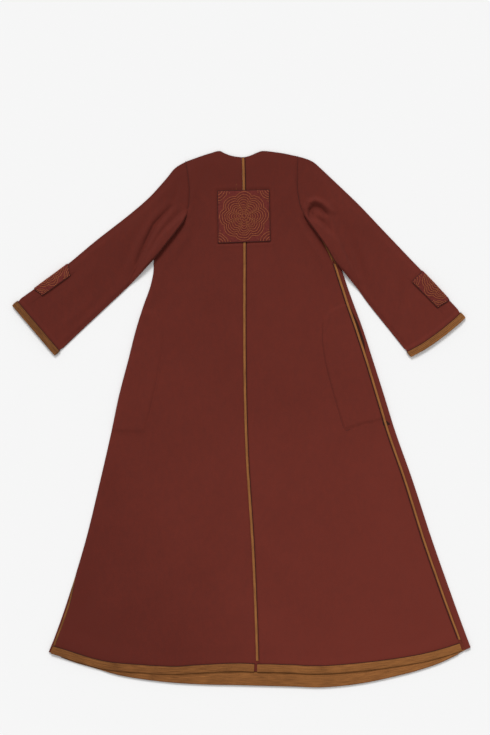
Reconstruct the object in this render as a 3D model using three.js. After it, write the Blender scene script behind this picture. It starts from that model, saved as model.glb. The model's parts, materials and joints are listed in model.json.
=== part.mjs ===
// A galabeya of double-faced cloth, laid flat on its front with its back up, built as its maker cuts it: walls of
// cloth that lie on each other, fold round the edges and meet at the seams.
// Millimetres. +X is to the right of the back as seen, +Y towards the neck, +Z up from the surface it lies on.
import * as THREE from 'three';

// Driving dimensions
const cloth = 1.6; // thickness of the cloth
const gap = 0.35; // air between two pieces
const layer = cloth + gap; // rise from one layer of cloth to the next
const stripCloth = 1.0; // thickness of a felled seam strip
const stripWidth = 6.6;
const patchCloth = 1.2;
const pocketCloth = 1.0; // thickness of the pocket bags' cotton
const hemWidth = 22; // turned up to the outside at the back hem
const frontHemWidth = 24;
const cuffWidth = 18.5;
const slitWidth = 6; // how far the right pocket's mouth gapes

const shades = { robe: 0x64302a, reverse: 0x7f5430, patch: 0x71432e, pocket: 0x4a241f };

// The side edges at each height, and how much of the front is turned over the right edge on to the back.
const sides = [
  { y: -617, left: -511, right: 612, turned: 17 },
  { y: -575, left: -494, right: 596, turned: 17 },
  { y: -479, left: -460.6, right: 561, turned: 18 },
  { y: -320, left: -412.6, right: 505, turned: 18 },
  { y: -161, left: -374, right: 453, turned: 16 },
  { y: -34, left: -345, right: 408, turned: 15.5 },
  { y: 61, left: -325, right: 378.5, turned: 15 },
  { y: 157, left: -300, right: 348, turned: 13.5 },
  { y: 236, left: -280, right: 322.5, turned: 14 },
  { y: 300, left: -260, right: 299, turned: 13 },
  { y: 347, left: -243, right: 282, turned: 11 },
  { y: 380, left: -235, right: 271, turned: 11 },
  { y: 398, left: -233, right: 264.5, turned: 5 },
  { y: 425, left: -231, right: 253, turned: 1 },
  { y: 465, left: -211, right: 230, turned: 1 },
  { y: 498, left: -182, right: 207, turned: 1 },
  { y: 531, left: -151.5, right: 173, turned: 1 },
  { y: 549, left: -144.6, right: 162.6, turned: 1 },
  { y: 567, left: -140, right: 155, turned: 1 },
  { y: 607, left: -138, right: 148, turned: 1 },
  { y: 647, left: -142, right: 147.5, turned: 1 },
  { y: 696, left: -150, right: 149, turned: 1 },
];

// Where each row of cloth meets the left edge, the centre back seam and the right edge.
const stations = [
  { t: 0, left: -617, centre: -668, right: -604.5 },
  { t: 0.8, left: 425, centre: 424, right: 398 },
  { t: 0.88, left: 531, centre: 534, right: 531 },
  { t: 1, left: 682, centre: 694, right: 696 },
];

const centreSeam = [
  { y: -670, x: 37 }, { y: -554, x: 33.5 }, { y: -370, x: 26 }, { y: -240, x: 18.5 }, { y: -100, x: 11 },
  { y: 62, x: 6 }, { y: 263, x: 4.2 }, { y: 464, x: 4.5 }, { y: 620, x: 2.7 }, { y: 696, x: 0.8 },
];

const shoulderAndNeck = [
  { x: -148, y: 682 }, { x: -129, y: 689 }, { x: -105, y: 697.5 }, { x: -83, y: 704.5 }, { x: -58, y: 710.5 },
  { x: -44, y: 704 }, { x: -25, y: 697.5 }, { x: 0.8, y: 694 }, { x: 16, y: 696 }, { x: 30, y: 701 },
  { x: 42, y: 706.5 }, { x: 56, y: 710.5 }, { x: 89, y: 707.5 }, { x: 115, y: 703.5 }, { x: 149, y: 696 },
];

// The front's neck is cut lower, with a narrow slit below the scoop.
const frontNeck = [
  { x: -148, y: 682 }, { x: -105, y: 697.5 }, { x: -62, y: 708 }, { x: -48, y: 672 }, { x: -30, y: 632 },
  { x: -12, y: 596 }, { x: 0, y: 420 }, { x: 12, y: 596 }, { x: 30, y: 632 }, { x: 48, y: 672 },
  { x: 60, y: 708 }, { x: 105, y: 704 }, { x: 149, y: 696 },
];

const backHem = [
  { x: -511, y: -617 }, { x: -453, y: -637 }, { x: -399, y: -654 }, { x: -347, y: -665 }, { x: -291, y: -670 },
  { x: -188, y: -676 }, { x: -109, y: -672 }, { x: -1, y: -667 }, { x: 37, y: -668 }, { x: 134, y: -672 },
  { x: 195, y: -675 }, { x: 262, y: -672 }, { x: 370, y: -661 }, { x: 478, y: -644 }, { x: 532, y: -630 },
  { x: 590, y: -610 }, { x: 608, y: -604.5 },
];

const frontHem = [
  { x: -511, y: -617 }, { x: -453, y: -640 }, { x: -399, y: -657 }, { x: -318, y: -680 }, { x: -210, y: -696 },
  { x: -109, y: -703 }, { x: -1, y: -705.5 }, { x: 134, y: -709 }, { x: 216, y: -711 }, { x: 316, y: -701 },
  { x: 424, y: -678 }, { x: 478, y: -663 }, { x: 532, y: -643 }, { x: 608, y: -604.5 },
];

// Each pocket bag's inner edge, as a share of its back panel's width from the side seam.
const pocketEdge = [
  { y: -36, left: 0.215, right: 0.275 },
  { y: 60, left: 0.215, right: 0.275 },
  { y: 150, left: 0.215, right: 0.275 },
  { y: 200, left: 0.19, right: 0.27 },
  { y: 225, left: 0.165, right: 0.235 },
  { y: 262, left: 0.09, right: 0.13 },
];
const pocketTop = 259;
const pocketBottom = -16;
const pocketSlope = { lower: [-48.5, -41], upper: [275, 292] }; // where the back comes down past the bag's two ends

const sleeves = {
  left: {
    upper: [[-148, 682], [-176, 665], [-202, 634], [-246, 586], [-302, 538], [-383, 475], [-460, 411], [-524, 363],
      [-590, 316], [-608, 301]],
    lower: [[-231, 425], [-289, 363], [-355, 300], [-423, 236], [-473, 188], [-495, 168]],
    cuff: [[-495, 168], [-552, 235], [-608, 301]],
    armhole: [[-231, 425], [-211, 465], [-182, 498], [-151.5, 531], [-140, 567], [-138, 607], [-142, 647],
      [-148, 682]],
    crease: [[-231, 425], [-200, 465], [-173.6, 498], [-150, 531], [-140, 567], [-138, 607], [-142, 647],
      [-148, 682]],
    patch: { top: 0.12, bottom: 0.5, from: 0.7, to: 0.87 },
    folds: [
      { from: [-235, 436], to: [-178, 530], width: 26, height: 7 },
      { from: [-262, 414], to: [-184, 556], width: 22, height: 4 },
    ],
  },
  right: {
    upper: [[149, 696], [168, 691], [189, 682], [208, 666], [242, 634], [309, 570], [369, 507], [430, 443],
      [491, 379], [550, 316], [594, 269]],
    lower: [[264.5, 398], [306, 348], [341, 300], [392, 236], [430, 188], [449, 164]],
    cuff: [[449, 164], [492, 188], [537, 220], [576, 252], [594, 269]],
    armhole: [[264.5, 398], [253, 425], [230, 465], [207, 498], [173, 531], [163, 549], [155.4, 567], [148, 607],
      [147.5, 647], [149, 696]],
    crease: [[264.5, 398], [246, 422], [222, 462], [200, 493], [172, 531], [163, 549], [155.4, 567], [148, 607],
      [147.5, 647], [149, 696]],
    patch: { top: 0.17, bottom: 0.42, from: 0.7, to: 0.86 },
    folds: [
      { from: [268, 404], to: [200, 548], width: 28, height: 7 },
      { from: [300, 372], to: [236, 566], width: 24, height: 4 },
    ],
  },
};

// The square on the back: its corners from the lower left, anticlockwise, and the shares of its width
// where it is divided.
const backPatch = {
  corners: [[-62, 466], [77, 471], [74, 608], [-64, 605]],
  columns: [0, 0.14, 0.28, 0.41, 0.445, 0.475, 0.508, 0.545, 0.7, 0.85, 1],
};

// How finely the cloth is divided
const bodyRows = [0, 0.0185, 0.03, 0.06, 0.1, 0.16, 0.22, 0.28, 0.34, 0.4, 0.436, 0.45, 0.466, 0.5, 0.55, 0.6,
  0.63, 0.66, 0.675, 0.7, 0.73, 0.76, 0.785, 0.8, 0.82, 0.85, 0.88, 0.91, 0.94, 0.97, 1];
const backColumns = [0.05, 0.12, 0.18, 0.235, 0.285, 0.36, 0.5, 0.66, 0.82, 0.93, 1];
const frontColumns = [0.03, 0.1, 0.2, 0.32, 0.42, 0.46, 0.5, 0.54, 0.58, 0.68, 0.8, 0.9, 0.97];
const sleeveSetBack = -0.6; // keeps a sleeve's end clear of the armhole's edge
const sleeveParts = [0, 0.015, 0.035, 0.065, 0.1, 0.15, 0.21, 0.28, 0.36, 0.45, 0.54];

const clamp = THREE.MathUtils.clamp;
const lerp = THREE.MathUtils.lerp;
const step = (value, from, to) => THREE.MathUtils.smoothstep(value, from, to);
const fade = (value, from, to) => 1 - step(value, from, to);
const flat = ([x, y]) => new THREE.Vector2(x, y);

// A smooth line through a table's rows, from one named column to another.
function through(rows, from, to) {
  const slopes = rows.map((row, i) => {
    const before = rows[Math.max(i - 1, 0)];
    const after = rows[Math.min(i + 1, rows.length - 1)];
    return (after[to] - before[to]) / (after[from] - before[from]);
  });
  return (at) => {
    const next = clamp(rows.findIndex((row) => row[from] > at), 0, rows.length - 1) || rows.length - 1;
    const [a, b] = [rows[next - 1] ?? rows[0], rows[next]];
    if (at <= rows[0][from]) return rows[0][to];
    const span = b[from] - a[from];
    const u = clamp((at - a[from]) / span, 0, 1);
    const bend = (1 - u) * slopes[next - 1] * span - u * slopes[next] * span;
    const chord = b[to] - a[to];
    return lerp(a[to], b[to], u) + u * (1 - u) * (bend + chord * (2 * u - 1));
  };
}

// Straight lines through a table's rows.
function between(rows, from, to) {
  return (at) => {
    const next = clamp(rows.findIndex((row) => row[from] >= at), 1, rows.length - 1);
    const [a, b] = [rows[next - 1], rows[next]];
    return lerp(a[to], b[to], clamp((at - a[from]) / (b[from] - a[from]), 0, 1));
  };
}

// A patch of plan between four edges: lower(s), upper(s), start(t) and end(t), which share their corners.
function spanned(lower, upper, start, end) {
  const [a, b, c, d] = [lower(0), lower(1), upper(0), upper(1)];
  return (s, t) => {
    const point = new THREE.Vector2();
    for (const axis of ['x', 'y']) {
      const across = lerp(start(t)[axis], end(t)[axis], s);
      const along = lerp(lower(s)[axis], upper(s)[axis], t);
      const corners = lerp(lerp(a[axis], b[axis], s), lerp(c[axis], d[axis], s), t);
      point[axis] = across + along - corners;
    }
    return point;
  };
}

// A wall of cloth: the grid's points are halfway through it, in rows. A closed one is a tube along its rows.
function wall(grid, thickness, closed = false) {
  const [rowCount, count] = [grid.length, grid[0].length];
  const at = (i, j) => grid[clamp(i, 0, rowCount - 1)][closed ? (j + count) % count : clamp(j, 0, count - 1)];
  const positions = [];
  for (const side of [0.5, -0.5]) {
    for (let i = 0; i < rowCount; i++) {
      for (let j = 0; j < count; j++) {
        const across = at(i, j + 1).clone().sub(at(i, j - 1));
        const along = at(i + 1, j).clone().sub(at(i - 1, j));
        const normal = across.cross(along).normalize();
        positions.push(...at(i, j).clone().addScaledVector(normal, side * thickness).toArray());
      }
    }
  }
  const outer = (i, j) => i * count + (j % count);
  const inner = (i, j) => rowCount * count + outer(i, j);
  const faces = [];
  const quad = (a, b, c, d) => faces.push(a, b, c, a, c, d);
  const lastColumn = closed ? count : count - 1;
  for (let i = 0; i < rowCount - 1; i++) {
    for (let j = 0; j < lastColumn; j++) {
      quad(outer(i, j), outer(i, j + 1), outer(i + 1, j + 1), outer(i + 1, j));
      quad(inner(i, j), inner(i + 1, j), inner(i + 1, j + 1), inner(i, j + 1));
    }
    if (!closed) {
      quad(outer(i, 0), outer(i + 1, 0), inner(i + 1, 0), inner(i, 0));
      quad(outer(i, lastColumn), inner(i, lastColumn), inner(i + 1, lastColumn), outer(i + 1, lastColumn));
    }
  }
  for (let j = 0; j < lastColumn; j++) {
    const top = rowCount - 1;
    quad(outer(0, j), inner(0, j), inner(0, j + 1), outer(0, j + 1));
    quad(outer(top, j), outer(top, j + 1), inner(top, j + 1), inner(top, j));
  }
  const geometry = new THREE.BufferGeometry();
  geometry.setAttribute('position', new THREE.Float32BufferAttribute(positions, 3));
  geometry.setIndex(faces);
  return geometry;
}

const galabeya = new THREE.Group();

function addPiece(name, geometry, shade) {
  const material = new THREE.MeshStandardMaterial({ color: shade, roughness: 0.92, side: THREE.DoubleSide });
  const mesh = new THREE.Mesh(geometry, material);
  mesh.name = name;
  galabeya.add(mesh);
}

// ---- The body in plan

const leftAt = through(sides, 'y', 'left');
const rightAt = through(sides, 'y', 'right');
const turnedAt = between(sides, 'y', 'turned');
const seamAt = through(centreSeam, 'y', 'x');
const backHemAt = through(backHem, 'x', 'y');
const frontHemAt = through(frontHem, 'x', 'y');
const backTopAt = through(shoulderAndNeck, 'x', 'y');
const frontTopAt = between(frontNeck, 'x', 'y');
const heightOn = { left: between(stations, 't', 'left'), centre: between(stations, 't', 'centre') };
heightOn.right = between(stations, 't', 'right');

const hemTop = 0.0205; // how far up the centre seam and side seam the hem's band reaches
const foldRadius = layer / 2;
const lip = foldRadius + cloth / 2; // a turned hem's outer radius
const hemInset = lip + gap; // where a panel ends behind its hem's lip

const leftEdge = (t) => flat([leftAt(heightOn.left(t)), heightOn.left(t)]);
const rightEdge = (t) => flat([rightAt(heightOn.right(t)), heightOn.right(t)]);
const centreEdge = (t) => flat([seamAt(heightOn.centre(t)), heightOn.centre(t)]);
const rightSeam = (t) => {
  const edge = rightEdge(t);
  return flat([edge.x - turnedAt(edge.y), edge.y - 5 * (1 - t)]);
};

// One of the body's outlines from corner to corner, its height taken from a table of x.
function drawn(heightAt, from, to, lift) {
  return (s) => {
    const x = lerp(from.x, to.x, s);
    const ends = lerp(from.y - heightAt(from.x), to.y - heightAt(to.x), s);
    return flat([x, heightAt(x) + ends + lift * Math.min(1, 8 * s, 8 * (1 - s))]);
  };
}

function panel(from, to, hemAt, topAt, lift) {
  return spanned(drawn(hemAt, from(0), to(0), lift), drawn(topAt, from(1), to(1), 0), from, to);
}

const backLeftPlan = panel(leftEdge, centreEdge, backHemAt, backTopAt, hemInset);
const backRightPlan = panel(rightSeam, centreEdge, backHemAt, backTopAt, hemInset);
const frontPlan = panel(leftEdge, rightEdge, frontHemAt, frontTopAt, hemInset);

// ---- Heights of the body's layers, each halfway through the cloth

// The front steps over its turned-up hem, and the back slopes over that step.
const overFrontHem = ({ x, y }, from, to) => layer * fade(y - frontHemAt(x), from, to);
const pocketBag = 2 * pocketCloth + gap; // a bag's two sides together
const pocketInner = { left: between(pocketEdge, 'y', 'left'), right: between(pocketEdge, 'y', 'right') };

// How much of the pocket's thickness lifts the back, s across a back panel from its side seam.
function overPocket(side, s, y) {
  const edge = pocketInner[side](y);
  const across = fade(s, edge + 0.03, edge + 0.08);
  const along = step(y, ...pocketSlope.lower) * fade(y, ...pocketSlope.upper);
  return (pocketBag + gap) * across * along;
}

const frontHeight = (point) => cloth / 2 + overFrontHem(point, frontHemWidth + 7, frontHemWidth + 11);
const backHeight = (point, side, s) => {
  const slope = overFrontHem(point, 2 * frontHemWidth, 4 * frontHemWidth);
  return cloth / 2 + layer + slope + overPocket(side, s, point.y);
};

function raised(point, height) {
  return new THREE.Vector3(point.x, point.y, height);
}

// A point on the fold that joins two layers, `along` its section from the outermost line, positive on the
// upper one.
function roundFold(edge, inward, low, high, along, tuck = cloth / 2) {
  const radius = (high - low) / 2;
  const turn = clamp(along / radius, -Math.PI / 2, Math.PI / 2);
  const beyond = Math.max(Math.abs(along) - (radius * Math.PI) / 2, 0);
  const inset = tuck + radius * (1 - Math.cos(turn)) + beyond;
  return raised(edge.clone().addScaledVector(inward, inset), (low + high) / 2 + radius * Math.sin(turn));
}

// Distances along a fold's section, squeezed where the cloth ends short of them.
function untilEnd(wanted, end) {
  const squeeze = 0.12;
  return wanted.map((along, k) => Math.min(along, end - (wanted.length - k) * squeeze)).concat(end);
}

function fromEnd(wanted, start) {
  return untilEnd(wanted.map((along) => -along).reverse(), -start).map((along) => -along).reverse();
}

function foldStops(low, high, reach) {
  const quarter = ((high - low) / 2) * (Math.PI / 2);
  return [-reach, -quarter, -quarter / 2, 0, quarter / 2, quarter];
}

// The left fold: the seam runs under the edge, and rolls up on to the back near the hem.
const underarm = { left: 0.79, right: 0.785 };
const leftFold = (t) => {
  const edge = leftEdge(t);
  const low = frontHeight(edge);
  const high = backHeight(edge, 'left', 0);
  const quarter = ((high - low) / 2) * (Math.PI / 2);
  const rolled = fade(heightOn.left(t), -500, -360);
  const seam = t > underarm.left ? 0 : lerp(-3, stripWidth + 0.2, rolled);
  const inward = backLeftPlan(0.1, t).sub(edge).normalize();
  return { edge, low, high, quarter, seam, inward, open: t > underarm.left };
};

function backLeft() {
  const rows = bodyRows.map((t) => {
    const { edge, low, high, quarter, seam, inward, open } = leftFold(t);
    const end = open ? quarter : seam;
    const stops = fromEnd([-quarter, -quarter / 2, 0, quarter / 2, quarter, 9], end);
    const round = stops.map((along) => roundFold(edge, inward, low, high, along));
    const across = backColumns.map((s) => {
      const point = backLeftPlan(s, t);
      if (s === 1) point.x -= gap / 2;
      return raised(point, backHeight(point, 'left', s));
    });
    return [...round, ...across];
  });
  return wall(rows, cloth);
}

function backRight() {
  const rows = bodyRows.map((t) => [...backColumns].reverse().concat(0).map((s) => {
    const point = backRightPlan(s, t);
    if (s === 1) point.x += gap / 2;
    if (s === 0) point.x -= gap / 2;
    return raised(point, backHeight(point, 'right', s));
  }));
  return wall(rows, cloth);
}

// The front lies under the back, and turns over the right edge to meet it. The pocket's mouth is cut from
// that turn.
function front() {
  const mouth = (y) => slitWidth * step(y, 172, 214) * fade(y, 250, 304);
  const rows = bodyRows.map((t) => {
    const left = leftFold(t);
    const start = left.open ? -left.quarter : left.seam - stripWidth - 4 * gap;
    const leftStops = untilEnd([-14, -8, -left.quarter], start).reverse();
    const leftPart = leftStops.map((along) => roundFold(left.edge, left.inward, left.low, left.high, along));
    const across = frontColumns.map((s) => raised(frontPlan(s, t), frontHeight(frontPlan(s, t))));
    const edge = rightEdge(t);
    const low = frontHeight(edge);
    const high = backHeight(edge, 'right', 0);
    const radius = (high - low) / 2;
    const quarter = (radius * Math.PI) / 2;
    const inward = frontPlan(0.9, t).sub(edge).normalize();
    const turned = turnedAt(edge.y) - gap - mouth(edge.y) - cloth / 2 - radius + quarter;
    const end = t > underarm.right ? -quarter : turned;
    const stops = untilEnd(foldStops(low, high, 9), end);
    return [...leftPart, ...across, ...stops.map((along) => roundFold(edge, inward, low, high, along))];
  });
  return wall(rows, cloth);
}

// ---- Seam strips

// A strip along the centre back seam, from above the hem band to the neck.
function centreStrip() {
  const rows = bodyRows.slice(1).map((t, k) => {
    const middle = centreEdge(k === 0 ? hemTop : t);
    const height = backHeight(middle, 'left', 1) + cloth / 2 + gap + stripCloth / 2;
    return [-0.5, 0.5].map((side) => raised(middle.clone().add(flat([side * stripWidth, 0])), height));
  });
  return wall(rows, stripCloth);
}

// The left strip lies in the seam, flush with the cloth on each side of it, and rolls round the edge with it.
function leftStrip() {
  const rows = bodyRows.filter((t) => t <= underarm.left).map((t) => {
    const { edge, inward, low, high, seam } = leftFold(t);
    const steps = 7;
    return Array.from({ length: steps + 1 }, (_, k) => {
      const along = seam - 1.5 * gap - stripWidth * (1 - k / steps);
      return roundFold(edge, inward, low, high, along);
    });
  });
  return wall(rows, stripCloth);
}

// The right strip lies on the back, its outer edge over the joint.
function rightStrip() {
  const rows = bodyRows.slice(1).filter((t) => t <= underarm.right).map((t, k) => {
    const outer = rightSeam(k === 0 ? hemTop : t);
    const height = backHeight(outer, 'right', 0) + cloth / 2 + gap + stripCloth / 2;
    return [-stripWidth - gap, -gap].map((across) => raised(outer.clone().add(flat([across, 0])), height));
  });
  return wall(rows, stripCloth);
}

// ---- Turned-up hems

// Stops across a hem from its raw edge to the lip: depth in from the fold, and layer counted from the panel's own.
function hemStops(width, side) {
  const stops = [{ depth: width, level: side }, { depth: width * 0.5, level: side }];
  const turns = 4;
  for (let k = 0; k <= turns; k++) {
    const angle = (Math.PI * k) / turns;
    stops.push({ depth: lip - foldRadius * Math.sin(angle), level: side * (0.5 + 0.5 * Math.cos(angle)) });
  }
  return stops;
}

// A band along a hem, at shares of its length, on the upper (1) or under (-1) side of its panel.
function hemBand(plan, shares, width, side, heightAt) {
  const rows = shares.map((s) => {
    const end = plan(s, 0);
    const along = plan(Math.min(s + 0.01, 1), 0).sub(plan(Math.max(s - 0.01, 0), 0)).normalize();
    const inward = flat([-along.y, along.x]);
    if (inward.y < 0) inward.negate();
    return hemStops(width, side).map(({ depth, level }) => {
      const point = end.clone().addScaledVector(inward, depth - hemInset);
      return raised(point, heightAt(point) + level * layer);
    });
  });
  return wall(rows, cloth);
}

const backHemShares = [0.02, ...backColumns.slice(0, -1), 0.9985];
const leftBackHeight = (point) => backHeight(point, 'left', 1);
const rightBackHeight = (point) => backHeight(point, 'right', 1);

// ---- Pockets, each a flat bag inside the robe, folded at its inner edge and open at the side seam

function pocket(side, plan, mouth) {
  const yAt = (t) => plan(0, t).y;
  const clear = 3; // from a bag's end to the panel's nearest row
  const inside = bodyRows.filter((t) => yAt(t) > pocketBottom + clear && yAt(t) < pocketTop - clear);
  const nearest = (y) => inside.reduce((best, t) => (Math.abs(yAt(t) - y) < Math.abs(yAt(best) - y) ? t : best));
  const rise = (yAt(0.8) - yAt(0)) / 0.8; // how far the side seam rises over the whole of t
  const rowAt = (y) => nearest(y) + (y - yAt(nearest(y))) / rise;
  const under = cloth + gap + pocketCloth / 2;
  const over = under + pocketCloth + gap;
  const rows = [rowAt(pocketBottom), ...inside, rowAt(pocketTop)].map((t) => {
    const inner = plan(pocketInner[side](yAt(t)), t);
    const outward = plan(0, t).sub(inner);
    const width = outward.length();
    outward.normalize();
    const bend = (over - under) / 2;
    const round = [-90, -45, 0, 45, 90].map((angle) => {
      const turn = THREE.MathUtils.degToRad(angle);
      return { across: bend * (1 - Math.cos(turn)), height: (under + over) / 2 + bend * Math.sin(turn) };
    });
    const stops = [
      { across: width + mouth, height: under }, { across: width / 2, height: under },
      ...round,
      { across: width / 2, height: over }, { across: width + mouth, height: over },
    ];
    return stops.map(({ across, height }) => raised(inner.clone().addScaledVector(outward, across), height));
  });
  return wall(rows, pocketCloth);
}

// ---- Sleeves, each a flattened tube

const curveOf = (rows) => new THREE.SplineCurve(rows.map(flat));

// One layer of a sleeve in plan: t along it from the armhole, s across it from its lower edge.
function sleevePlan({ upper, lower, cuff }, startLine) {
  const [start, end, under, over] = [startLine, cuff, lower, upper].map((rows) => {
    const curve = curveOf(rows);
    return (share) => curve.getPointAt(clamp(share, 0, 1));
  });
  return spanned(under, over, start, end);
}

function ridge({ x, y }, { from, to, width, height }) {
  const line = new THREE.Line3(new THREE.Vector3(...from, 0), new THREE.Vector3(...to, 0));
  const point = new THREE.Vector3(x, y, 0);
  const share = line.closestPointToPointParameter(point, true);
  const away = line.at(share, new THREE.Vector3()).distanceTo(point);
  return height * fade(away, 0, width) * Math.sin(Math.PI * (0.15 + 0.7 * share));
}

// What every piece of one sleeve is made from: rings of points round it, `out` of its cloth's middle.
function sleeveForm(side) {
  const shape = sleeves[side];
  const under = sleevePlan(shape, shape.armhole);
  const over = sleevePlan(shape, shape.crease);
  const { patch } = shape;
  const patchInner = 1 - patch.bottom;
  const lengthAt = (plan, s) => plan(1, s).distanceTo(plan(0, s));
  const partAt = (plan, s, row) => row.part - row.back / lengthAt(plan, s);
  const atCuff = (row) => (row.part === 1 ? fade(row.back, cuffWidth + 3, cuffWidth + 14) : 0);
  const lift = (s, row) => {
    const overPatch = step(s, patchInner - 0.1, patchInner - 0.02)
      * step(row.part, patch.from - 0.05, patch.from - 0.01) * fade(row.part, patch.to + 0.01, patch.to + 0.05);
    return layer * atCuff(row) + (patchCloth + gap) * overPatch * (row.part < 1 ? 1 : 0);
  };
  const low = (s, row, out) => cloth / 2 + lift(s, row) - out;
  const overBody = (s, row) => (row.part < 1 ? layer * fade(s, 0.48, 0.55) * fade(row.part, 0.04, 0.15) : 0);
  const high = (s, row, out, point) => {
    const drape = shape.folds.reduce((sum, fold) => sum + ridge(point, fold), 0);
    return cloth / 2 + layer + lift(s, row) + overBody(s, row) + drape + out;
  };
  const bottom = (s, row, out) => {
    const point = under(partAt(under, s, row), s);
    return raised(point, low(s, row, out));
  };
  const top = (s, row, out) => {
    const point = over(partAt(over, s, row), s);
    return raised(point, high(s, row, out, point));
  };
  const turns = [-90, -45, 0, 45, 90];
  // The fold along the lower (s 0) or upper (s 1) edge, from the under layer to the over layer.
  const fold = (s, row, out, flatReach) => {
    const inner = Math.abs(s - 0.12);
    const edge = over(partAt(over, s, row), s);
    const inwardOf = (plan) => plan(partAt(plan, inner, row), inner).sub(edge).normalize();
    const [lowAt, highAt] = [low(s, row, out), high(s, row, out, edge)];
    const quarter = ((highAt - lowAt) / 2) * (Math.PI / 2);
    const tuck = cloth / 2 + layer * atCuff(row) - out;
    const alongs = [-quarter - flatReach, ...turns.map((angle) => (quarter * angle) / 90), quarter + flatReach];
    return alongs.map((along) => {
      const inward = along < 0 ? inwardOf(under) : inwardOf(over);
      return roundFold(edge, inward, lowAt, highAt, along, tuck);
    });
  };
  const ring = (row, out) => [
    ...[0.1, 0.26, patchInner - 0.11, patchInner - 0.01, 0.78, 0.9].map((s) => bottom(s, row, out)),
    ...fold(1, row, out, 5),
    ...[0.88, 0.72, 0.56, 0.45, 0.33, 0.2, 0.09].map((s) => top(s, row, out)),
    ...fold(0, row, out, 5).reverse(),
  ];
  return { ring, bottom, top, fold, patch, patchInner };
}

function sleeve({ ring, patch }) {
  const { from, to } = patch;
  const parts = [...sleeveParts, from - 0.05, from - 0.01, (from + to) / 2, to + 0.01];
  const rows = parts.map((part) => ({ part, back: part === 0 ? sleeveSetBack : 0 }));
  rows.push({ part: 1, back: cuffWidth + 15 }, { part: 1, back: cuffWidth + 3 }, { part: 1, back: hemInset });
  return wall(rows.map((row) => ring(row, 0)), cloth, true);
}

function cuff({ ring }) {
  const rows = hemStops(cuffWidth, 1).map(({ depth, level }) => ring({ part: 1, back: depth }, level * layer));
  return wall(rows, cloth, true);
}

// The square on a sleeve, wrapped round the sleeve's upper fold.
function sleevePatch({ bottom, top, fold, patch, patchInner }) {
  const out = cloth / 2 + gap + patchCloth / 2;
  const rows = [0, 0.25, 0.5, 0.75, 1].map((share) => {
    const row = { part: lerp(patch.from, patch.to, share), back: 0 };
    return [
      ...[patchInner, 0.78, 0.9].map((s) => bottom(s, row, out)),
      ...fold(1, row, out, 2),
      top(1 - patch.top, row, out),
    ];
  });
  return wall(rows, patchCloth);
}

// ---- The square on the back, raised where it crosses the centre seam's strip

function backSquare() {
  const [a, b, c, d] = backPatch.corners.map(flat);
  const rest = cloth + layer + gap + patchCloth / 2;
  const rows = [0, 0.2, 0.4, 0.6, 0.8, 1].map((v) => backPatch.columns.map((u) => {
    const point = a.clone().lerp(b, u).lerp(d.clone().lerp(c, u), v);
    const away = Math.abs(point.x - seamAt(point.y));
    return raised(point, rest + (stripCloth + gap) * fade(away, 4.6, 8.6));
  }));
  return wall(rows, patchCloth);
}

// ---- The pieces

addPiece('back_left', backLeft(), shades.robe);
addPiece('back_right', backRight(), shades.robe);
addPiece('front', front(), shades.robe);
addPiece('seam_centre', centreStrip(), shades.reverse);
addPiece('seam_left', leftStrip(), shades.reverse);
addPiece('seam_right', rightStrip(), shades.reverse);
addPiece('hem_back_left', hemBand(backLeftPlan, backHemShares, hemWidth, 1, leftBackHeight), shades.reverse);
addPiece('hem_back_right', hemBand(backRightPlan, backHemShares, hemWidth, 1, rightBackHeight), shades.reverse);
addPiece('hem_front', hemBand(frontPlan, frontColumns, frontHemWidth, -1, frontHeight), shades.reverse);
addPiece('pocket_left', pocket('left', backLeftPlan, -8), shades.pocket);
addPiece('pocket_right', pocket('right', backRightPlan, 8), shades.pocket);
addPiece('patch_back', backSquare(), shades.patch);
for (const side of ['left', 'right']) {
  const form = sleeveForm(side);
  addPiece(`sleeve_${side}`, sleeve(form), shades.robe);
  addPiece(`cuff_${side}`, cuff(form), shades.reverse);
  addPiece(`patch_sleeve_${side}`, sleevePatch(form), shades.patch);
}

// The origin is on the surface, under the middle of the robe's box.
const box = new THREE.Box3().setFromObject(galabeya);
const middle = box.getCenter(new THREE.Vector3());
galabeya.position.set(-middle.x, -middle.y, -box.min.z);

export default galabeya;
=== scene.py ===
import bpy
import json
import math
import numpy as np
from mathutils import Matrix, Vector, noise

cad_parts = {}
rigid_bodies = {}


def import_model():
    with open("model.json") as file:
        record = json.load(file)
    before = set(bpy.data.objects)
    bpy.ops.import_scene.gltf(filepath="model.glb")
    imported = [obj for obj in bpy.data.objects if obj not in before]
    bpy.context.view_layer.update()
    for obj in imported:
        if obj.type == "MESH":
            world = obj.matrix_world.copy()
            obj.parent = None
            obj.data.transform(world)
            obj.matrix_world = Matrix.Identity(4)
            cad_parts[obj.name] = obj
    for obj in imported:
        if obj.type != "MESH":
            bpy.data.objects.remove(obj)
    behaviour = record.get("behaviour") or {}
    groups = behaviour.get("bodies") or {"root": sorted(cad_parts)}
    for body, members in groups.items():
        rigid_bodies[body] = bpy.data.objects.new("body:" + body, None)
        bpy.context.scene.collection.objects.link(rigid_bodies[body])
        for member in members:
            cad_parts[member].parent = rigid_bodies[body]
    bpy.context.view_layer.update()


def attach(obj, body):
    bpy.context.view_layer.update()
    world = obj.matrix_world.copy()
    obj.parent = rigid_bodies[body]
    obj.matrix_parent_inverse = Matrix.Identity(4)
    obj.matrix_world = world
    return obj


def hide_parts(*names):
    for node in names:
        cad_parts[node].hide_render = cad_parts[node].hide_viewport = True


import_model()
mm = 0.001


def clamp(value, low, high):
    return max(low, min(high, value))


def lerp(a, b, share):
    return a + (b - a) * share


def step(value, low, high):
    share = clamp((value - low) / (high - low), 0, 1)
    return share * share * (3 - 2 * share)


def fade(value, low, high):
    return 1 - step(value, low, high)


def bell(value, width):
    return math.exp(-(value / width) ** 2)


def evenly(start, end, count):
    return [lerp(start, end, k / count) for k in range(count + 1)]


def named(columns, *rows):  # a short table with named columns
    return [dict(zip(columns.split(), row)) for row in rows]


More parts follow.
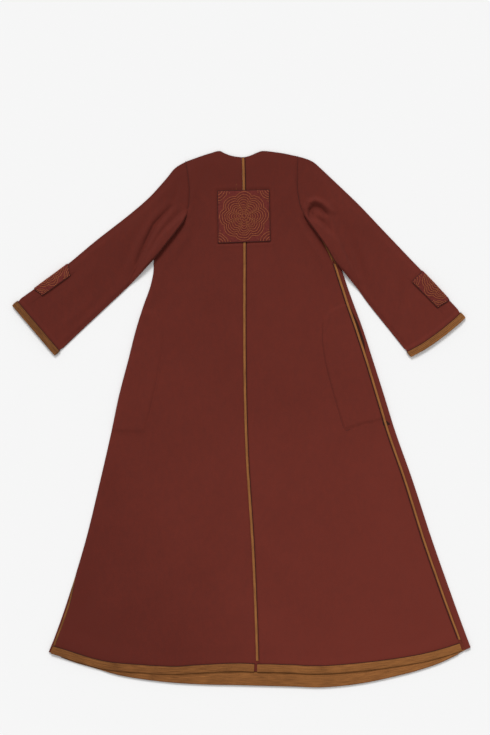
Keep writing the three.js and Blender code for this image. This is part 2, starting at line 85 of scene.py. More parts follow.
def smoothThrough(rows, key, column):  # a smooth line through a table's rows
    keys = [row[key] for row in rows]
    values = [row[column] for row in rows]
    last = len(rows) - 1
    slopes = []
    for i in range(last + 1):
        a, b = max(i - 1, 0), min(i + 1, last)
        slopes.append((values[b] - values[a]) / (keys[b] - keys[a]))

    def at(place):
        if place <= keys[0]:
            return values[0]
        i = next((k for k in range(1, last + 1) if keys[k] > place), last)
        span = keys[i] - keys[i - 1]
        u = clamp((place - keys[i - 1]) / span, 0, 1)
        bend = (1 - u) * slopes[i - 1] * span - u * slopes[i] * span
        chord = values[i] - values[i - 1]
        return lerp(values[i - 1], values[i], u) + u * (1 - u) * (bend + chord * (2 * u - 1))

    return at


def straightThrough(rows, key, column):
    def at(place):
        i = next((k for k in range(1, len(rows)) if rows[k][key] >= place), len(rows) - 1)
        a, b = rows[i - 1], rows[i]
        return lerp(a[column], b[column], clamp((place - a[key]) / (b[key] - a[key]), 0, 1))

    return at


def spanned(lower, upper, start, end):  # plan between four edges that share their corners
    a, b, c, d = lower(0), lower(1), upper(0), upper(1)

    def at(s, t):
        across = start(t).lerp(end(t), s)
        along = lower(s).lerp(upper(s), t)
        return across + along - a.lerp(b, s).lerp(c.lerp(d, s), t)

    return at


def splineThrough(points):  # a smooth curve through points, by the share of its length
    ends = [Vector(p) for p in points]
    fine = []
    for i in range(len(ends) - 1):
        p0, p1, p2 = ends[max(i - 1, 0)], ends[i], ends[i + 1]
        p3 = ends[min(i + 2, len(ends) - 1)]
        for k in range(12):
            u = k / 12
            fine.append(0.5 * (2 * p1 + (p2 - p0) * u + (2 * p0 - 5 * p1 + 4 * p2 - p3) * u * u
                               + (3 * p1 - p0 - 3 * p2 + p3) * u ** 3))
    fine.append(ends[-1])
    lengths = [0]
    for a, b in zip(fine, fine[1:]):
        lengths.append(lengths[-1] + (b - a).length)

    def at(share):
        want = clamp(share, 0, 1) * lengths[-1]
        low, high = 0, len(lengths) - 1
        while high - low > 1:
            middle = (low + high) // 2
            low, high = (middle, high) if lengths[middle] <= want else (low, middle)
        return fine[low].lerp(fine[high], (want - lengths[low]) / (lengths[high] - lengths[low]))

    return at


def nearLine(points):  # distance from a polyline, the share along it, and the side (1 on its left)
    parts = []
    total = sum(math.dist(a, b) for a, b in zip(points, points[1:]))
    run = 0
    for a, b in zip(points, points[1:]):
        wx, wy = b[0] - a[0], b[1] - a[1]
        length = math.hypot(wx, wy)
        parts.append((a[0], a[1], wx, wy, length * length, run / total, length / total))
        run += length

    def at(x, y):
        best = (1e9, 0, 1)
        for ax, ay, wx, wy, square, before, part in parts:
            u = clamp(((x - ax) * wx + (y - ay) * wy) / square, 0, 1)
            dx, dy = x - ax - wx * u, y - ay - wy * u
            away = dx * dx + dy * dy
            if away < best[0]:
                best = (away, before + part * u, 1 if wx * dy - wy * dx > 0 else -1)
        return math.sqrt(best[0]), best[1], best[2]

    return at


def drapeOf(*folds):  # the sum of soft ridges (+) and troughs (-): each one's width, height and line
    ready = []
    for width, height, *line in folds:
        xs, ys = zip(*line)
        reach = 2.4 * width
        box = (min(xs) - reach, max(xs) + reach, min(ys) - reach, max(ys) + reach)
        ready.append((box, nearLine(line), width, height))

    def at(x, y):
        total = 0
        for box, near, width, height in ready:
            if box[0] < x < box[1] and box[2] < y < box[3]:
                away, share, _ = near(x, y)
                total += height * bell(away, width) * math.sin(math.pi * (0.1 + 0.8 * share))
        return total

    return at


# The robe's sizes, in millimetres, as in the CAD
cloth = 1.6
gap = 0.35
stripCloth = 1.0
patchCloth = 1.2
pocketCloth = 1.0
layer = cloth + gap
half = cloth / 2
foldRadius = layer / 2
lip = foldRadius + half
shift = Vector((0.025, -0.365, 0))  # the origin is under the middle of the CAD's box

body = {
    "sides": named(
        "y left right turned",
        (-617, -511, 612, 17), (-575, -494, 596, 17), (-479, -460.6, 561, 18), (-320, -412.6, 505, 18),
        (-161, -374, 453, 16), (-34, -345, 408, 15.5), (61, -325, 378.5, 15), (157, -300, 348, 13.5),
        (236, -280, 322.5, 14), (300, -260, 299, 13), (347, -243, 282, 11), (380, -235, 271, 11),
        (398, -233, 264.5, 10), (425, -231, 253, 8), (465, -211, 230, 2), (498, -182, 207, 1),
        (531, -151.5, 173, 1), (549, -144.6, 162.6, 1), (567, -140, 155, 1), (607, -138, 148, 1),
        (647, -142, 147.5, 1), (696, -150, 149, 1)),
    "stations": named(
        "t left centre right", (0, -617, -668, -604.5), (0.8, 425, 424, 398), (0.88, 531, 534, 531),
        (1, 682, 694, 696)),
    "centreSeam": named(
        "y x", (-670, 37), (-554, 33.5), (-370, 26), (-240, 18.5), (-100, 11), (62, 6), (263, 4.2), (464, 4.5),
        (620, 2.7), (696, 0.8)),
    "shoulderAndNeck": named(
        "x y", (-148, 682), (-129, 689), (-105, 697.5), (-83, 704.5), (-58, 710.5), (-44, 704), (-25, 697.5),
        (0.8, 694), (16, 696), (30, 701), (42, 706.5), (56, 710.5), (89, 707.5), (115, 703.5), (149, 696)),
    "frontNeck": named(
        "x y", (-148, 682), (-105, 697.5), (-62, 708), (-48, 672), (-30, 632), (-12, 596), (0, 420), (12, 596),
        (30, 632), (48, 672), (60, 708), (105, 704), (149, 696)),
    "backHem": named(
        "x y", (-511, -617), (-453, -637), (-399, -654), (-347, -665), (-291, -670), (-188, -676), (-109, -672),
        (-1, -667), (37, -668), (134, -672), (195, -675), (262, -672), (370, -661), (478, -644), (532, -630),
        (590, -610), (608, -604.5)),
    "frontHem": named(
        "x y", (-511, -617), (-453, -640), (-399, -657), (-318, -680), (-210, -696), (-109, -703), (-1, -705.5),
        (134, -709), (216, -711), (316, -701), (424, -678), (478, -663), (532, -643), (608, -604.5)),
    "backHemWidth": 22,
    "frontHemWidth": 24,
    "hemInset": lip + 0.15,
    "centreStrip": 5.4,
    "leftStrip": 4.6,  # what its seam leaves of it in sight
    "seamRolled": 9.0,  # how far the left seam is rolled over the edge near the hem
    "stripFoot": 0.0205,  # where the strips begin, above the hem
    "stripTop": 0.8105,  # where the right strip goes under the sleeve
    "underarm": {"left": 0.79, "right": 0.82},
}

leftAt = smoothThrough(body["sides"], "y", "left")
rightAt = smoothThrough(body["sides"], "y", "right")
turnedAt = straightThrough(body["sides"], "y", "turned")
seamAt = smoothThrough(body["centreSeam"], "y", "x")
backHemAt = smoothThrough(body["backHem"], "x", "y")
frontHemAt = smoothThrough(body["frontHem"], "x", "y")
backTopAt = smoothThrough(body["shoulderAndNeck"], "x", "y")
frontTopAt = straightThrough(body["frontNeck"], "x", "y")
heightOn = {side: straightThrough(body["stations"], "t", side) for side in ("left", "centre", "right")}


def leftEdge(t):
    y = heightOn["left"](t)
    return Vector((leftAt(y), y))


def rightEdge(t):
    y = heightOn["right"](t)
    return Vector((rightAt(y), y))


def centreEdge(t):
    y = heightOn["centre"](t)
    return Vector((seamAt(y), y))


def rightSeam(t):
    edge = rightEdge(t)
    return Vector((edge.x - turnedAt(edge.y), edge.y - 5 * (1 - t)))


def drawn(heightAt, start, end, lift):  # an outline from corner to corner, its height from a table of x
    def at(s):
        x = lerp(start.x, end.x, s)
        ends = lerp(start.y - heightAt(start.x), end.y - heightAt(end.x), s)
        return Vector((x, heightAt(x) + ends + lift * min(1, 8 * s, 8 * (1 - s))))

    return at


def panelPlan(start, end, hemAt, topAt):
    hem = drawn(hemAt, start(0), end(0), body["hemInset"])
    return spanned(hem, drawn(topAt, start(1), end(1), 0), start, end)


backLeftPlan = panelPlan(leftEdge, centreEdge, backHemAt, backTopAt)
backRightPlan = panelPlan(rightSeam, centreEdge, backHemAt, backTopAt)
frontPlan = panelPlan(leftEdge, rightEdge, frontHemAt, frontTopAt)

# What lies under the back and lifts it, and how the cloth lies
pockets = {
    "rise": 2.3,
    "ramp": 22,  # how far the back slopes over a bag's edge
    "left": [(-300, 292), (-252, 287), (-232, 284), (-213, 263), (-207, 223), (-212, 172), (-232, 72), (-243, 24),
             (-250, -2), (-257, -35), (-325, -32), (-400, -28)],
    "right": [(330, 318), (264, 304), (238, 292), (228, 284), (218, 264), (215, 240), (215, 202), (222, 152),
              (235, 99), (254, 32), (273, -27), (295, -22), (314, -15), (355, -6), (440, 12)],
    "groove": {"left": 0.6, "right": 1.5},  # the line that the bag's own seam presses
}
pocketLine = {side: nearLine(pockets[side]) for side in ("left", "right")}

armhole = {
    "left": [(-151.5, 531), (-144.6, 549), (-140, 567), (-138, 607), (-142, 647), (-148, 682)],
    "right": [(173, 531), (162.6, 549), (155, 567), (148, 607), (147.5, 647), (149, 696)],
    "sink": 1.5,
    "swell": 1.1,
}
armholeLine = {side: nearLine(armhole[side]) for side in ("left", "right")}

creases = {
    "left": nearLine([(-231, 425), (-200, 465), (-173.6, 498), (-150, 531)]),
    "right": nearLine([(264.5, 398), (246, 422), (222, 462), (200, 493), (172, 531)]),
}

backDrape = drapeOf(
    (14, 1.5, (-60, 690), (-52, 640)), (17, 1.6, (-136, 660), (-118, 600), (-92, 560)),
    (15, -1.2, (-138, 560), (-120, 510), (-112, 460)), (14, 3.0, (-128, 545), (-150, 480), (-190, 420)),
    (9, 1.8, (-122, 640), (-128, 570), (-140, 520)), (18, 1.5, (130, 660), (122, 610), (112, 560)),
    (13, 2.6, (140, 560), (166, 490), (204, 430), (232, 380)),
    (9, 2.4, (152, 530), (172, 492), (198, 450), (230, 402)),
    (9, 1.6, (132, 650), (134, 590), (146, 545)), (24, -1.0, (118, 480), (150, 430), (180, 390)),
    (12, 1.2, (-208, 415), (-222, 370), (-230, 320)), (55, 0.9, (-70, 380), (-100, 100), (-130, -160)),
    (50, 1.0, (110, 330), (135, 100), (150, -120)), (55, 1.1, (-180, -80), (-240, -300), (-290, -520)),
    (50, 1.0, (60, -160), (100, -400), (130, -600)), (50, 1.1, (300, -120), (370, -320), (430, -520)),
    (36, -0.9, (-40, -180), (-60, -400), (-90, -620)), (40, -0.9, (210, -60), (260, -300), (300, -560)),
    (30, -0.9, (-330, -250), (-380, -400), (-430, -560)), (26, -0.8, (430, -200), (490, -400), (545, -560)))


def uneven(x, y):  # the cloth never lies quite flat
    broad = noise.noise(Vector((x / 95, y / 130, 3.1)))
    middling = noise.noise(Vector((x / 38, y / 46, 8.4)))
    small = noise.noise(Vector((x / 14, y / 16, 1.9)))
    return 0.8 * broad + 0.42 * middling + 0.13 * small


def overFrontHem(x, y, low, high):
    return layer * fade(y - frontHemAt(x), low, high)


def onFront(x, y):  # the middle of the layer that lies on the front and its hem
    hem = body["frontHemWidth"]
    return half + layer + overFrontHem(x, y, 1.7 * hem, 3.6 * hem)


def overPocket(side, x, y):
    if not -60 < y < 320 or abs(x) < 190:
        return 0
    away, _, hand = pocketLine[side](x, y)
    inside = hand < 0 if side == "left" else hand > 0
    depth = away if inside else -away
    line = 0.35 * bell(depth - 4.5, 3) - pockets["groove"][side] * bell(depth, 2.2)
    return pockets["rise"] * step(depth, -pockets["ramp"] / 2, pockets["ramp"] / 2) + line


def settled(value):  # keeps a layer from sinking through the one under it
    return value if value > 0.5 else 0.5 * math.exp((value - 0.5) / 0.5)


def pulledIn(x, y):  # the armhole seams, sunk between soft flanks
    total = 0
    if y > 515:
        for side in ("left", "right"):
            away, _, _ = armholeLine[side](x, y)
            total += armhole["swell"] * bell(away - 7, 5.5) - armhole["sink"] * bell(away, 2.6)
    return total


def underCrease(x, y):  # where a sleeve's lower part lies over the body
    if y < 380 or y > 545:
        return 0
    away, _, _ = creases["left" if x < 0 else "right"](x, y)
    return -2.6 * bell(away - 2, 8)


def stripAt(y):  # the middle of the centre strip, which is felled to the seam's right
    return seamAt(y) + lerp(5.6, 3.4, step(y, -320, -60))


def besideSeam(x, y):  # small waves beside the centre strip
    away = abs(x - stripAt(y))
    if away > 30:
        return 0
    wave = noise.noise(Vector((y / 8.0, 7.7, 0.4)))
    hand = 1 if x > stripAt(y) else 0.35
    return 0.25 * wave * bell(away, 11) - 1.9 * hand * bell(away - 4.9, 1.9)


patchSquare = {"corners": [(-62, 466), (77, 471), (74, 608), (-64, 605)], "sink": 1.3}
patchOutline = nearLine(patchSquare["corners"] + patchSquare["corners"][:1])


def aroundPatch(x, y):
    if not (-90 < x < 100 and 440 < y < 635):
        return 0
    away, _, hand = patchOutline(x, y)
    return 0.5 * bell(away - 8, 4) - patchSquare["sink"] * bell(away - 1.2, 2.2) if hand < 0 else -0.4


def frontHeight(point):
    hem = body["frontHemWidth"]
    bared = fade(point.y - backHemAt(point.x), -7, -1)  # it rises to the back's lip where it shows below it
    return half + overFrontHem(point.x, point.y, hem + 3, hem + 9) + 1.8 * bared


def backHeight(point, side):
    x, y = point.x, point.y
    base = onFront(x, y) + overPocket(side, x, y)
    soft = settled(backDrape(x, y) + uneven(x, y) + 1.2)
    calm = step(y - backHemAt(x), -5, 70) * step(backTopAt(x) - y, -5, 30)
    return base + calm * soft + pulledIn(x, y) + underCrease(x, y) + besideSeam(x, y) + aroundPatch(x, y)


def onBack(x, y):
    return backHeight(Vector((x, y)), "left" if x < seamAt(y) else "right")


def roundFold(edge, inward, low, high, along, tuck=half):  # along is negative on the lower layer
    radius = (high - low) / 2
    turn = clamp(along / radius, -math.pi / 2, math.pi / 2)
    beyond = max(abs(along) - radius * math.pi / 2, 0)
    inset = tuck + radius * (1 - math.cos(turn)) + beyond
    return Vector((edge.x + inward.x * inset, edge.y + inward.y * inset,
                   (low + high) / 2 + radius * math.sin(turn)))


def untilEnd(wanted, end, squeeze=0.15):
    count = len(wanted)
    return [min(along, end - (count - k) * squeeze) for k, along in enumerate(wanted)] + [end]


def fromEnd(wanted, start):
    return [-along for along in reversed(untilEnd([-along for along in reversed(wanted)], -start))]


print("plans and heights ready")


def inScene(name, data):
    item = bpy.data.objects.new(name, data)
    bpy.context.scene.collection.objects.link(item)
    return item


# Materials
def newMaterial(name, base, roughness, sheen=0.0, sheenTint=(1, 1, 1)):
    material = bpy.data.materials.new(name)
    material.use_nodes = True
    tree = material.node_tree
    shader = tree.nodes["Principled BSDF"]
    for key, value in (("Base Color", (*base, 1)), ("Roughness", roughness), ("Specular IOR Level", 0.2),
                       ("Sheen Weight", sheen), ("Sheen Roughness", 0.45), ("Sheen Tint", (*sheenTint, 1))):
        shader.inputs[key].default_value = value
    return material, tree, shader


def added(tree, kind, links=None, values=None, **settings):  # a node with its inputs linked or set
    node = tree.nodes.new(kind)
    for key, value in settings.items():
        setattr(node, key, value)
    for key, value in (values or {}).items():
        node.inputs[key].default_value = value
    for key, socket in (links or {}).items():
        tree.links.new(socket, node.inputs[key])
    return node


def objectPlace(tree):
    return added(tree, "ShaderNodeTexCoord").outputs["Object"]


def clothPlace(tree):  # in metres along the cloth
    return added(tree, "ShaderNodeUVMap", uv_map="cloth").outputs[0]


def grain(tree, placeIn, scale, stretch=(1, 1, 1), detail=3.0):
    mapping = added(tree, "ShaderNodeMapping", {"Vector": placeIn(tree)}, {"Scale": stretch})
    return added(tree, "ShaderNodeTexNoise", {"Vector": mapping.outputs[0]},
                 {"Scale": scale, "Detail": detail, "Roughness": 0.6}).outputs[0]


def fuzz(tree):
    return grain(tree, clothPlace, 2400, detail=4)


def ribs(tree, pitch, direction, distortion):
    values = {"Scale": 0.314 / pitch, "Distortion": distortion, "Detail": 2.0, "Detail Scale": 2.5}
    return added(tree, "ShaderNodeTexWave", {"Vector": clothPlace(tree)}, values, bands_direction=direction).outputs[1]


def weighed(tree, parts):  # parts: (socket, weight)
    total = None
    for socket, weight in parts:
        links = {0: socket} if total is None else {0: socket, 2: total}
        total = added(tree, "ShaderNodeMath", links, {1: weight, 2: 0}, operation="MULTIPLY_ADD").outputs[0]
    return total


def ranged(tree, value, low, high, toLow=0.0, toHigh=1.0):
    return added(tree, "ShaderNodeMapRange", {0: value}, {1: low, 2: high, 3: toLow, 4: toHigh}).outputs[0]


def tinted(tree, shader, factor, dark, light):
    node = added(tree, "ShaderNodeMix", {0: factor}, {6: (*dark, 1), 7: (*light, 1)}, data_type="RGBA")
    tree.links.new(node.outputs[2], shader.inputs["Base Color"])


def bumped(tree, shader, height, strength, distance):
    bump = added(tree, "ShaderNodeBump", {"Height": height}, {"Strength": strength, "Distance": distance})
    tree.links.new(bump.outputs[0], shader.inputs["Normal"])


robeCloth = {
    "dark": (0.101, 0.0150, 0.0092),
    "light": (0.146, 0.0232, 0.0146),
    "roughness": (0.88, 0.98),
    "sheen": 0.07,
    "sheenTint": (0.85, 0.45, 0.38),
    "rib": 0.0012,
}


def makeRobeCloth():
    spec = robeCloth
    material, tree, shader = newMaterial("robe cloth", spec["light"], 0.93, spec["sheen"], spec["sheenTint"])
    broad = grain(tree, objectPlace, 3.5)
    nap = grain(tree, objectPlace, 110, (1, 0.5, 1), 5)
    fibre = grain(tree, clothPlace, 800, (1, 0.3, 1), 4)
    x, y, _ = added(tree, "ShaderNodeSeparateXYZ", {0: objectPlace(tree)}).outputs
    # painted light and shade in the cloth's colour: lighter to the right, darker at the lower-left corner and at the
    # top
    corner = ranged(tree, weighed(tree, [(x, 1), (y, 0.9)]), -0.9, -0.4, -0.26, 0)
    top = ranged(tree, y, 0.48, 0.72, 0, -0.09)
    paintedLight = weighed(tree, [(x, 0.19), (y, -0.17), (corner, 1), (top, 1)])  # painted light and shade: brighter towards the right, darker at the top and towards the lower-left corner
    tone = weighed(tree, [(broad, 0.3), (nap, 0.35), (fibre, 0.35), (paintedLight, 1.0)])
    tinted(tree, shader, ranged(tree, tone, 0.3, 0.68), spec["dark"], spec["light"])
    tree.links.new(ranged(tree, nap, 0.3, 0.7, *spec["roughness"]), shader.inputs["Roughness"])
    knit = [(ribs(tree, spec["rib"], "X", 1.6), 0.35), (ribs(tree, spec["rib"] * 1.2, "Y", 2.2), 0.25)]
    bumped(tree, shader, weighed(tree, knit + [(fuzz(tree), 0.5), (nap, 0.9)]), 0.25, 0.0005)
    return material


reverseCloth = {
    "dark": (0.112, 0.0390, 0.0100),
    "light": (0.314, 0.123, 0.0340),
    "sheen": 0.08,
    "streak": 430,
}


def makeReverseCloth(name, start):
    spec = reverseCloth
    material, tree, shader = newMaterial(name, spec["light"], 0.92, spec["sheen"], (0.8, 0.6, 0.4))
    streaks = grain(tree, clothPlace, spec["streak"], (0.06, 1, 1), 4)
    heather = grain(tree, clothPlace, 700, (0.5, 1, 1), 4)
    broad = grain(tree, clothPlace, 14, detail=2)
    x = added(tree, "ShaderNodeSeparateXYZ", {0: objectPlace(tree)}).outputs[0]
    # painted light: the x term makes the ochre brighter towards the right
    tone = weighed(tree, [(streaks, 0.6), (heather, 0.35), (broad, 0.2), (x, 0.13)])
    tinted(tree, shader, ranged(tree, tone, start, start + 0.32), spec["dark"], spec["light"])
    knit = [(ribs(tree, robeCloth["rib"], "X", 1.6), 0.3), (fuzz(tree), 0.5), (streaks, 0.9)]
    bumped(tree, shader, weighed(tree, knit), 0.28, 0.0005)
    return material


def makeMottled(name, dark, light, scale, sheen=0.04):
    material, tree, shader = newMaterial(name, light, 0.93, sheen)
    mottle = grain(tree, clothPlace, scale, detail=4)
    tinted(tree, shader, ranged(tree, mottle, 0.35, 0.66), dark, light)
    bumped(tree, shader, weighed(tree, [(mottle, 0.8), (fuzz(tree), 0.5)]), 0.3, 0.0005)
    return material


def makeThread(name, base):
    material, tree, shader = newMaterial(name, base, 0.75, 0.03)
    twist = grain(tree, objectPlace, 1500, detail=2)
    tinted(tree, shader, ranged(tree, twist, 0.35, 0.65), tuple(v * 0.7 for v in base), base)
    bumped(tree, shader, twist, 0.3, 0.0003)
    return material


finishes = {
    "robe": makeRobeCloth(),
    "reverse": makeReverseCloth("reverse cloth", 0.42),
    "strip": makeReverseCloth("strip cloth", 0.35),
    "patch": makeMottled("patch cloth", (0.104, 0.0150, 0.0115), (0.150, 0.0245, 0.0180), 160),
    # the bag's near-black cotton also paints the shadow seen in the right pocket's mouth
    "pocket": makeMottled("pocket cotton", (0.028, 0.006, 0.004), (0.044, 0.010, 0.007), 1100, 0.0),
}
# the shade and dark threads also stand for shade: rows of them paint the shade in the pockets' pressed lines, beside
# the seam strips and under raised edges
for name, base in (("ochre", (0.300, 0.125, 0.040)), ("gold", (0.510, 0.168, 0.052)),
                   ("rose", (0.150, 0.022, 0.020)), ("umber", (0.130, 0.050, 0.018)),
                   ("shade", (0.082, 0.0135, 0.0095)), ("dark", (0.040, 0.010, 0.008))):
    finishes[name] = makeThread(name + " thread", base)
print("materials ready")


# Walls of cloth: rows of points halfway through it
def normalsOf(grid, closed):
    if closed:
        across = np.roll(grid, -1, axis=1) - np.roll(grid, 1, axis=1)
    else:
        wide = np.concatenate([grid[:, :1], grid, grid[:, -1:]], axis=1)
        across = wide[:, 2:] - wide[:, :-2]
    tall = np.concatenate([grid[:1], grid, grid[-1:]], axis=0)
    normals = np.cross(across, tall[2:] - tall[:-2])
    return normals / np.maximum(np.linalg.norm(normals, axis=2, keepdims=True), 1e-9)


def lengthsOf(grid):  # each point's distance across and along the cloth, from its middle
    across = np.linalg.norm(np.diff(grid, axis=1), axis=2)
    along = np.linalg.norm(np.diff(grid, axis=0), axis=2)
    u = np.concatenate([np.zeros((grid.shape[0], 1)), np.cumsum(across, axis=1)], axis=1)
    v = np.concatenate([np.zeros((1, grid.shape[1])), np.cumsum(along, axis=0)], axis=0)
    return u - u[:, grid.shape[1] // 2][:, None], v


def addCloth(name, rows, node, faces, thick=cloth, closed=False, rimFace=0, turnedGrain=False):
    # faces: the finish on the side that the rows' normals point to, then the other side's
    grid = np.array([[tuple(point + shift) for point in row] for row in rows]) * mm
    normals = normalsOf(grid, closed) * thick * mm / 2
    tall, wide = grid.shape[:2]
    u, v = lengthsOf(np.concatenate([grid, grid[:, :1]], axis=1) if closed else grid)
    if turnedGrain:
        u, v = v, u
    points = np.concatenate([(grid + normals).reshape(-1, 3), (grid - normals).reshape(-1, 3)])
    last = wide if closed else wide - 1
    uvWide = wide + 1 if closed else wide
    uvs = np.stack([u, v], axis=2).reshape(-1, 2)
    quads, places, materials = [], [], []
    for i in range(tall - 1):
        for j in range(last):
            k = (j + 1) % wide
            ring = ((i, j), (i, k), (i + 1, k), (i + 1, j))
            spot = [i * uvWide + j, i * uvWide + j + 1, (i + 1) * uvWide + j + 1, (i + 1) * uvWide + j]
            quads.append([r * wide + c for r, c in ring])
            places.append(spot)
            quads.append([tall * wide + r * wide + c for r, c in reversed(ring)])
            places.append(spot[::-1])
            materials += [0, len(faces) - 1]
    rims = []
    for j in range(last):
        k = (j + 1) % wide
        rims.append(((0, k), (0, j), j))
        rims.append(((tall - 1, j), (tall - 1, k), (tall - 1) * uvWide + j))
    if not closed:
        for i in range(tall - 1):
            rims.append(((i, 0), (i + 1, 0), i * uvWide))
            rims.append(((i + 1, last), (i, last), i * uvWide + last))
    for (r0, c0), (r1, c1), spot in rims:
        a, b = r0 * wide + c0, r1 * wide + c1
        quads.append([a, b, tall * wide + b, tall * wide + a])
        places.append([spot] * 4)
        materials.append(rimFace)
    mesh = bpy.data.meshes.new(name)
    mesh.from_pydata(points.tolist(), [], quads)
    mesh.uv_layers.new(name="cloth").data.foreach_set("uv", uvs[np.array(places).reshape(-1)].reshape(-1))
    mesh.polygons.foreach_set("material_index", materials)
    mesh.polygons.foreach_set("use_smooth", [True] * len(quads))
    mesh.set_sharp_from_angle(angle=math.radians(55))
    for finish in faces:
        mesh.materials.append(finishes[finish])
    piece = inScene(name, mesh)
    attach(piece, "root")
    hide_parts(node)
    a, b, c = grid[:-1, :-1], grid[:-1, 1:], grid[1:, :-1]
    flat = float(np.linalg.norm(np.cross(b - a, c - a), axis=2).sum())
    made[name] = dict(piece=piece, grid=grid, normals=normals, area=flat)
    return piece


made = {}


def inwardFrom(edge, plan, s, t):
    return (plan(s, t) - edge).normalized()


def leftFold(t):
    edge = leftEdge(t)
    inward = inwardFrom(edge, backLeftPlan, 0.1, t)
    low = frontHeight(edge)
    high = onFront(edge.x, edge.y) + overPocket("left", edge.x, edge.y)
    rolled = fade(heightOn["left"](t), -500, -360)
    isOpen = t > body["underarm"]["left"] + 0.01
    return dict(edge=edge, inward=inward, quarter=(high - low) / 4 * math.pi, isOpen=isOpen,
                seam=0 if isOpen else lerp(-3, body["seamRolled"], rolled),
                at=lambda along: roundFold(edge, inward, low, high, along))


bodyRows = sorted([0, 0.001, 0.002, 0.0045] + evenly(0.008, 0.765, 240) + evenly(0.767, 0.885, 62)
                  + evenly(0.888, 0.997, 36) + [0.9985, 0.9993, 1])
besideCentre = [0.2, 2.2, 4.2, 5.8, 7, 7.8, 8.6, 9.4, 10.2, 11, 12, 14]
besideRight = [0.2, 3, 5.2, 6.3, 7, 7.7, 8.4, 9.3, 11, 13.5]
pocketEdge = (86, 122)  # where a pocket's outline runs, from the side


def leftBackHeight(point):
    return backHeight(point, "left")


def rightBackHeight(point):
    return backHeight(point, "right")


def openRow(edge, inward, heightAt, gaps=10):  # the armhole's edge, sewn to the sleeve
    points = [edge + inward * inset for inset in evenly(-1.4, 13, gaps)]
    return [Vector((point.x, point.y, heightAt(point))) for point in points]


def makeBackLeft():
    rows = []
    for t in bodyRows:
        fold = leftFold(t)
        quarter = fold["quarter"]
        wanted = [quarter * share for share in (-0.7, -0.35, 0, 0.35, 0.7, 1)] + [4.5, 7, 9.5, 12]
        row = openRow(fold["edge"], fold["inward"], leftBackHeight) if fold["isOpen"] else []
        for along in [] if fold["isOpen"] else fromEnd(wanted, fold["seam"]):
            point = fold["at"](along)
            if along > quarter:
                point.z = lerp(point.z, leftBackHeight(point), step(along, quarter, 12))
            row.append(point)
        width = (centreEdge(t) - fold["edge"]).length
        insets = evenly(15.5, pocketEdge[0], 20) + evenly(pocketEdge[0] + 1.4, pocketEdge[1], 25)
        insets += evenly(pocketEdge[1] + 3, width - 17, 38) + [width - away for away in reversed(besideCentre)]
        for inset in insets:
            spot = backLeftPlan(inset / width, t)
            row.append(Vector((spot.x, spot.y, leftBackHeight(spot))))
        rows.append(row)
    return rows


def makeBackRight():
    rows = []
    for t in bodyRows:
        width = (rightSeam(t) - centreEdge(t)).length
        row = []
        insets = [width - away for away in besideCentre] + evenly(width - 17, pocketEdge[1] + 3, 38)
        insets += evenly(pocketEdge[1], pocketEdge[0] + 1.4, 27) + evenly(pocketEdge[0], 17, 20)
        insets += besideRight[::-1]
        if t > body["underarm"]["right"] + 0.01:
            insets[-1] = -1.4
        for inset in insets:
            spot = backRightPlan(inset / width, t)
            sunk = 0.9 * fade(inset, 0, 9) + 1.6 * bell(inset - 7.6, 1.9)
            row.append(Vector((spot.x, spot.y, rightBackHeight(spot) - sunk * fade(t, 0.84, 0.88))))
        rows.append(row)
    return rows


mouth = {"width": 6.6, "low": (170, 212), "high": (245, 310)}


def mouthAt(y):  # how far the pocket's mouth gapes
    return mouth["width"] * step(y, *mouth["low"]) * fade(y, *mouth["high"])


def makeFront():
    rows = []
    for t in bodyRows[::2] + bodyRows[-1:]:
        left = leftFold(t)
        wanted = [-13, -9, -6] + [left["quarter"] * share for share in (-1, -0.5, 0, 0.5, 1)] + [3, 5]
        if left["isOpen"]:
            row = openRow(left["edge"], left["inward"], frontHeight)
        else:
            row = [left["at"](along) for along in untilEnd(wanted, left["seam"] - body["leftStrip"] - 0.5)[::-1]]
        edge = rightEdge(t)
        width = (edge - left["edge"]).length
        for s in evenly(18 / width, 1 - 14 / width, 76):
            spot = frontPlan(s, t)
            row.append(Vector((spot.x, spot.y, frontHeight(spot))))
        inward = inwardFrom(edge, frontPlan, 0.9, t)
        if t > body["underarm"]["right"] + 0.03:
            rows.append(row + openRow(edge, inward, frontHeight, 12)[::-1])
            continue
        low = frontHeight(edge)
        seam = rightSeam(t)
        high = onFront(edge.x, edge.y) + overPocket("right", seam.x - 4, seam.y)
        radius = (high - low) / 2
        quarter = radius * math.pi / 2
        end = max(turnedAt(edge.y) - 0.3 - mouthAt(edge.y) - half - radius + quarter, quarter + 0.8)
        wanted = [-8] + [quarter * share for share in (-1, -0.6, -0.3, 0, 0.3, 0.6, 1)]
        wanted += [lerp(quarter, end, share) for share in (0.2, 0.4, 0.6, 0.8)]
        for along in untilEnd(wanted, end):
            point = roundFold(edge, inward, low, high, along)
            if along > quarter:
                crown = math.sin(math.pi * clamp((along - quarter) / (end - quarter), 0, 1))
                point.z += 0.8 * crown + 0.5 * uneven(point.x, point.y)
            row.append(point)
        rows.append(row)
    return rows


addCloth("backLeft", makeBackLeft(), "back_left", ["robe", "reverse"])
addCloth("backRight", makeBackRight(), "back_right", ["robe", "reverse"])
addCloth("frontPanel", makeFront(), "front", ["reverse", "robe"], rimFace=1)
print("body ready")

# Seam strips: flat felled bands that lie on the joints
stripProfile = [(-0.5, -0.35), (-0.44, 0), (-0.25, 0.22), (0, 0.3), (0.25, 0.22), (0.44, 0), (0.5, -0.35)]


def stripRows(until):
    return [body["stripFoot"]] + [t for t in bodyRows if body["stripFoot"] + 0.002 < t < until]


def stripRow(x, y, width, below, seed):
    wobble = 0.25 * noise.noise(Vector((y / 22, seed, 4)))
    return [Vector((x + side * width + wobble, y, below + half + gap + stripCloth / 2 + rise))
            for side, rise in stripProfile]


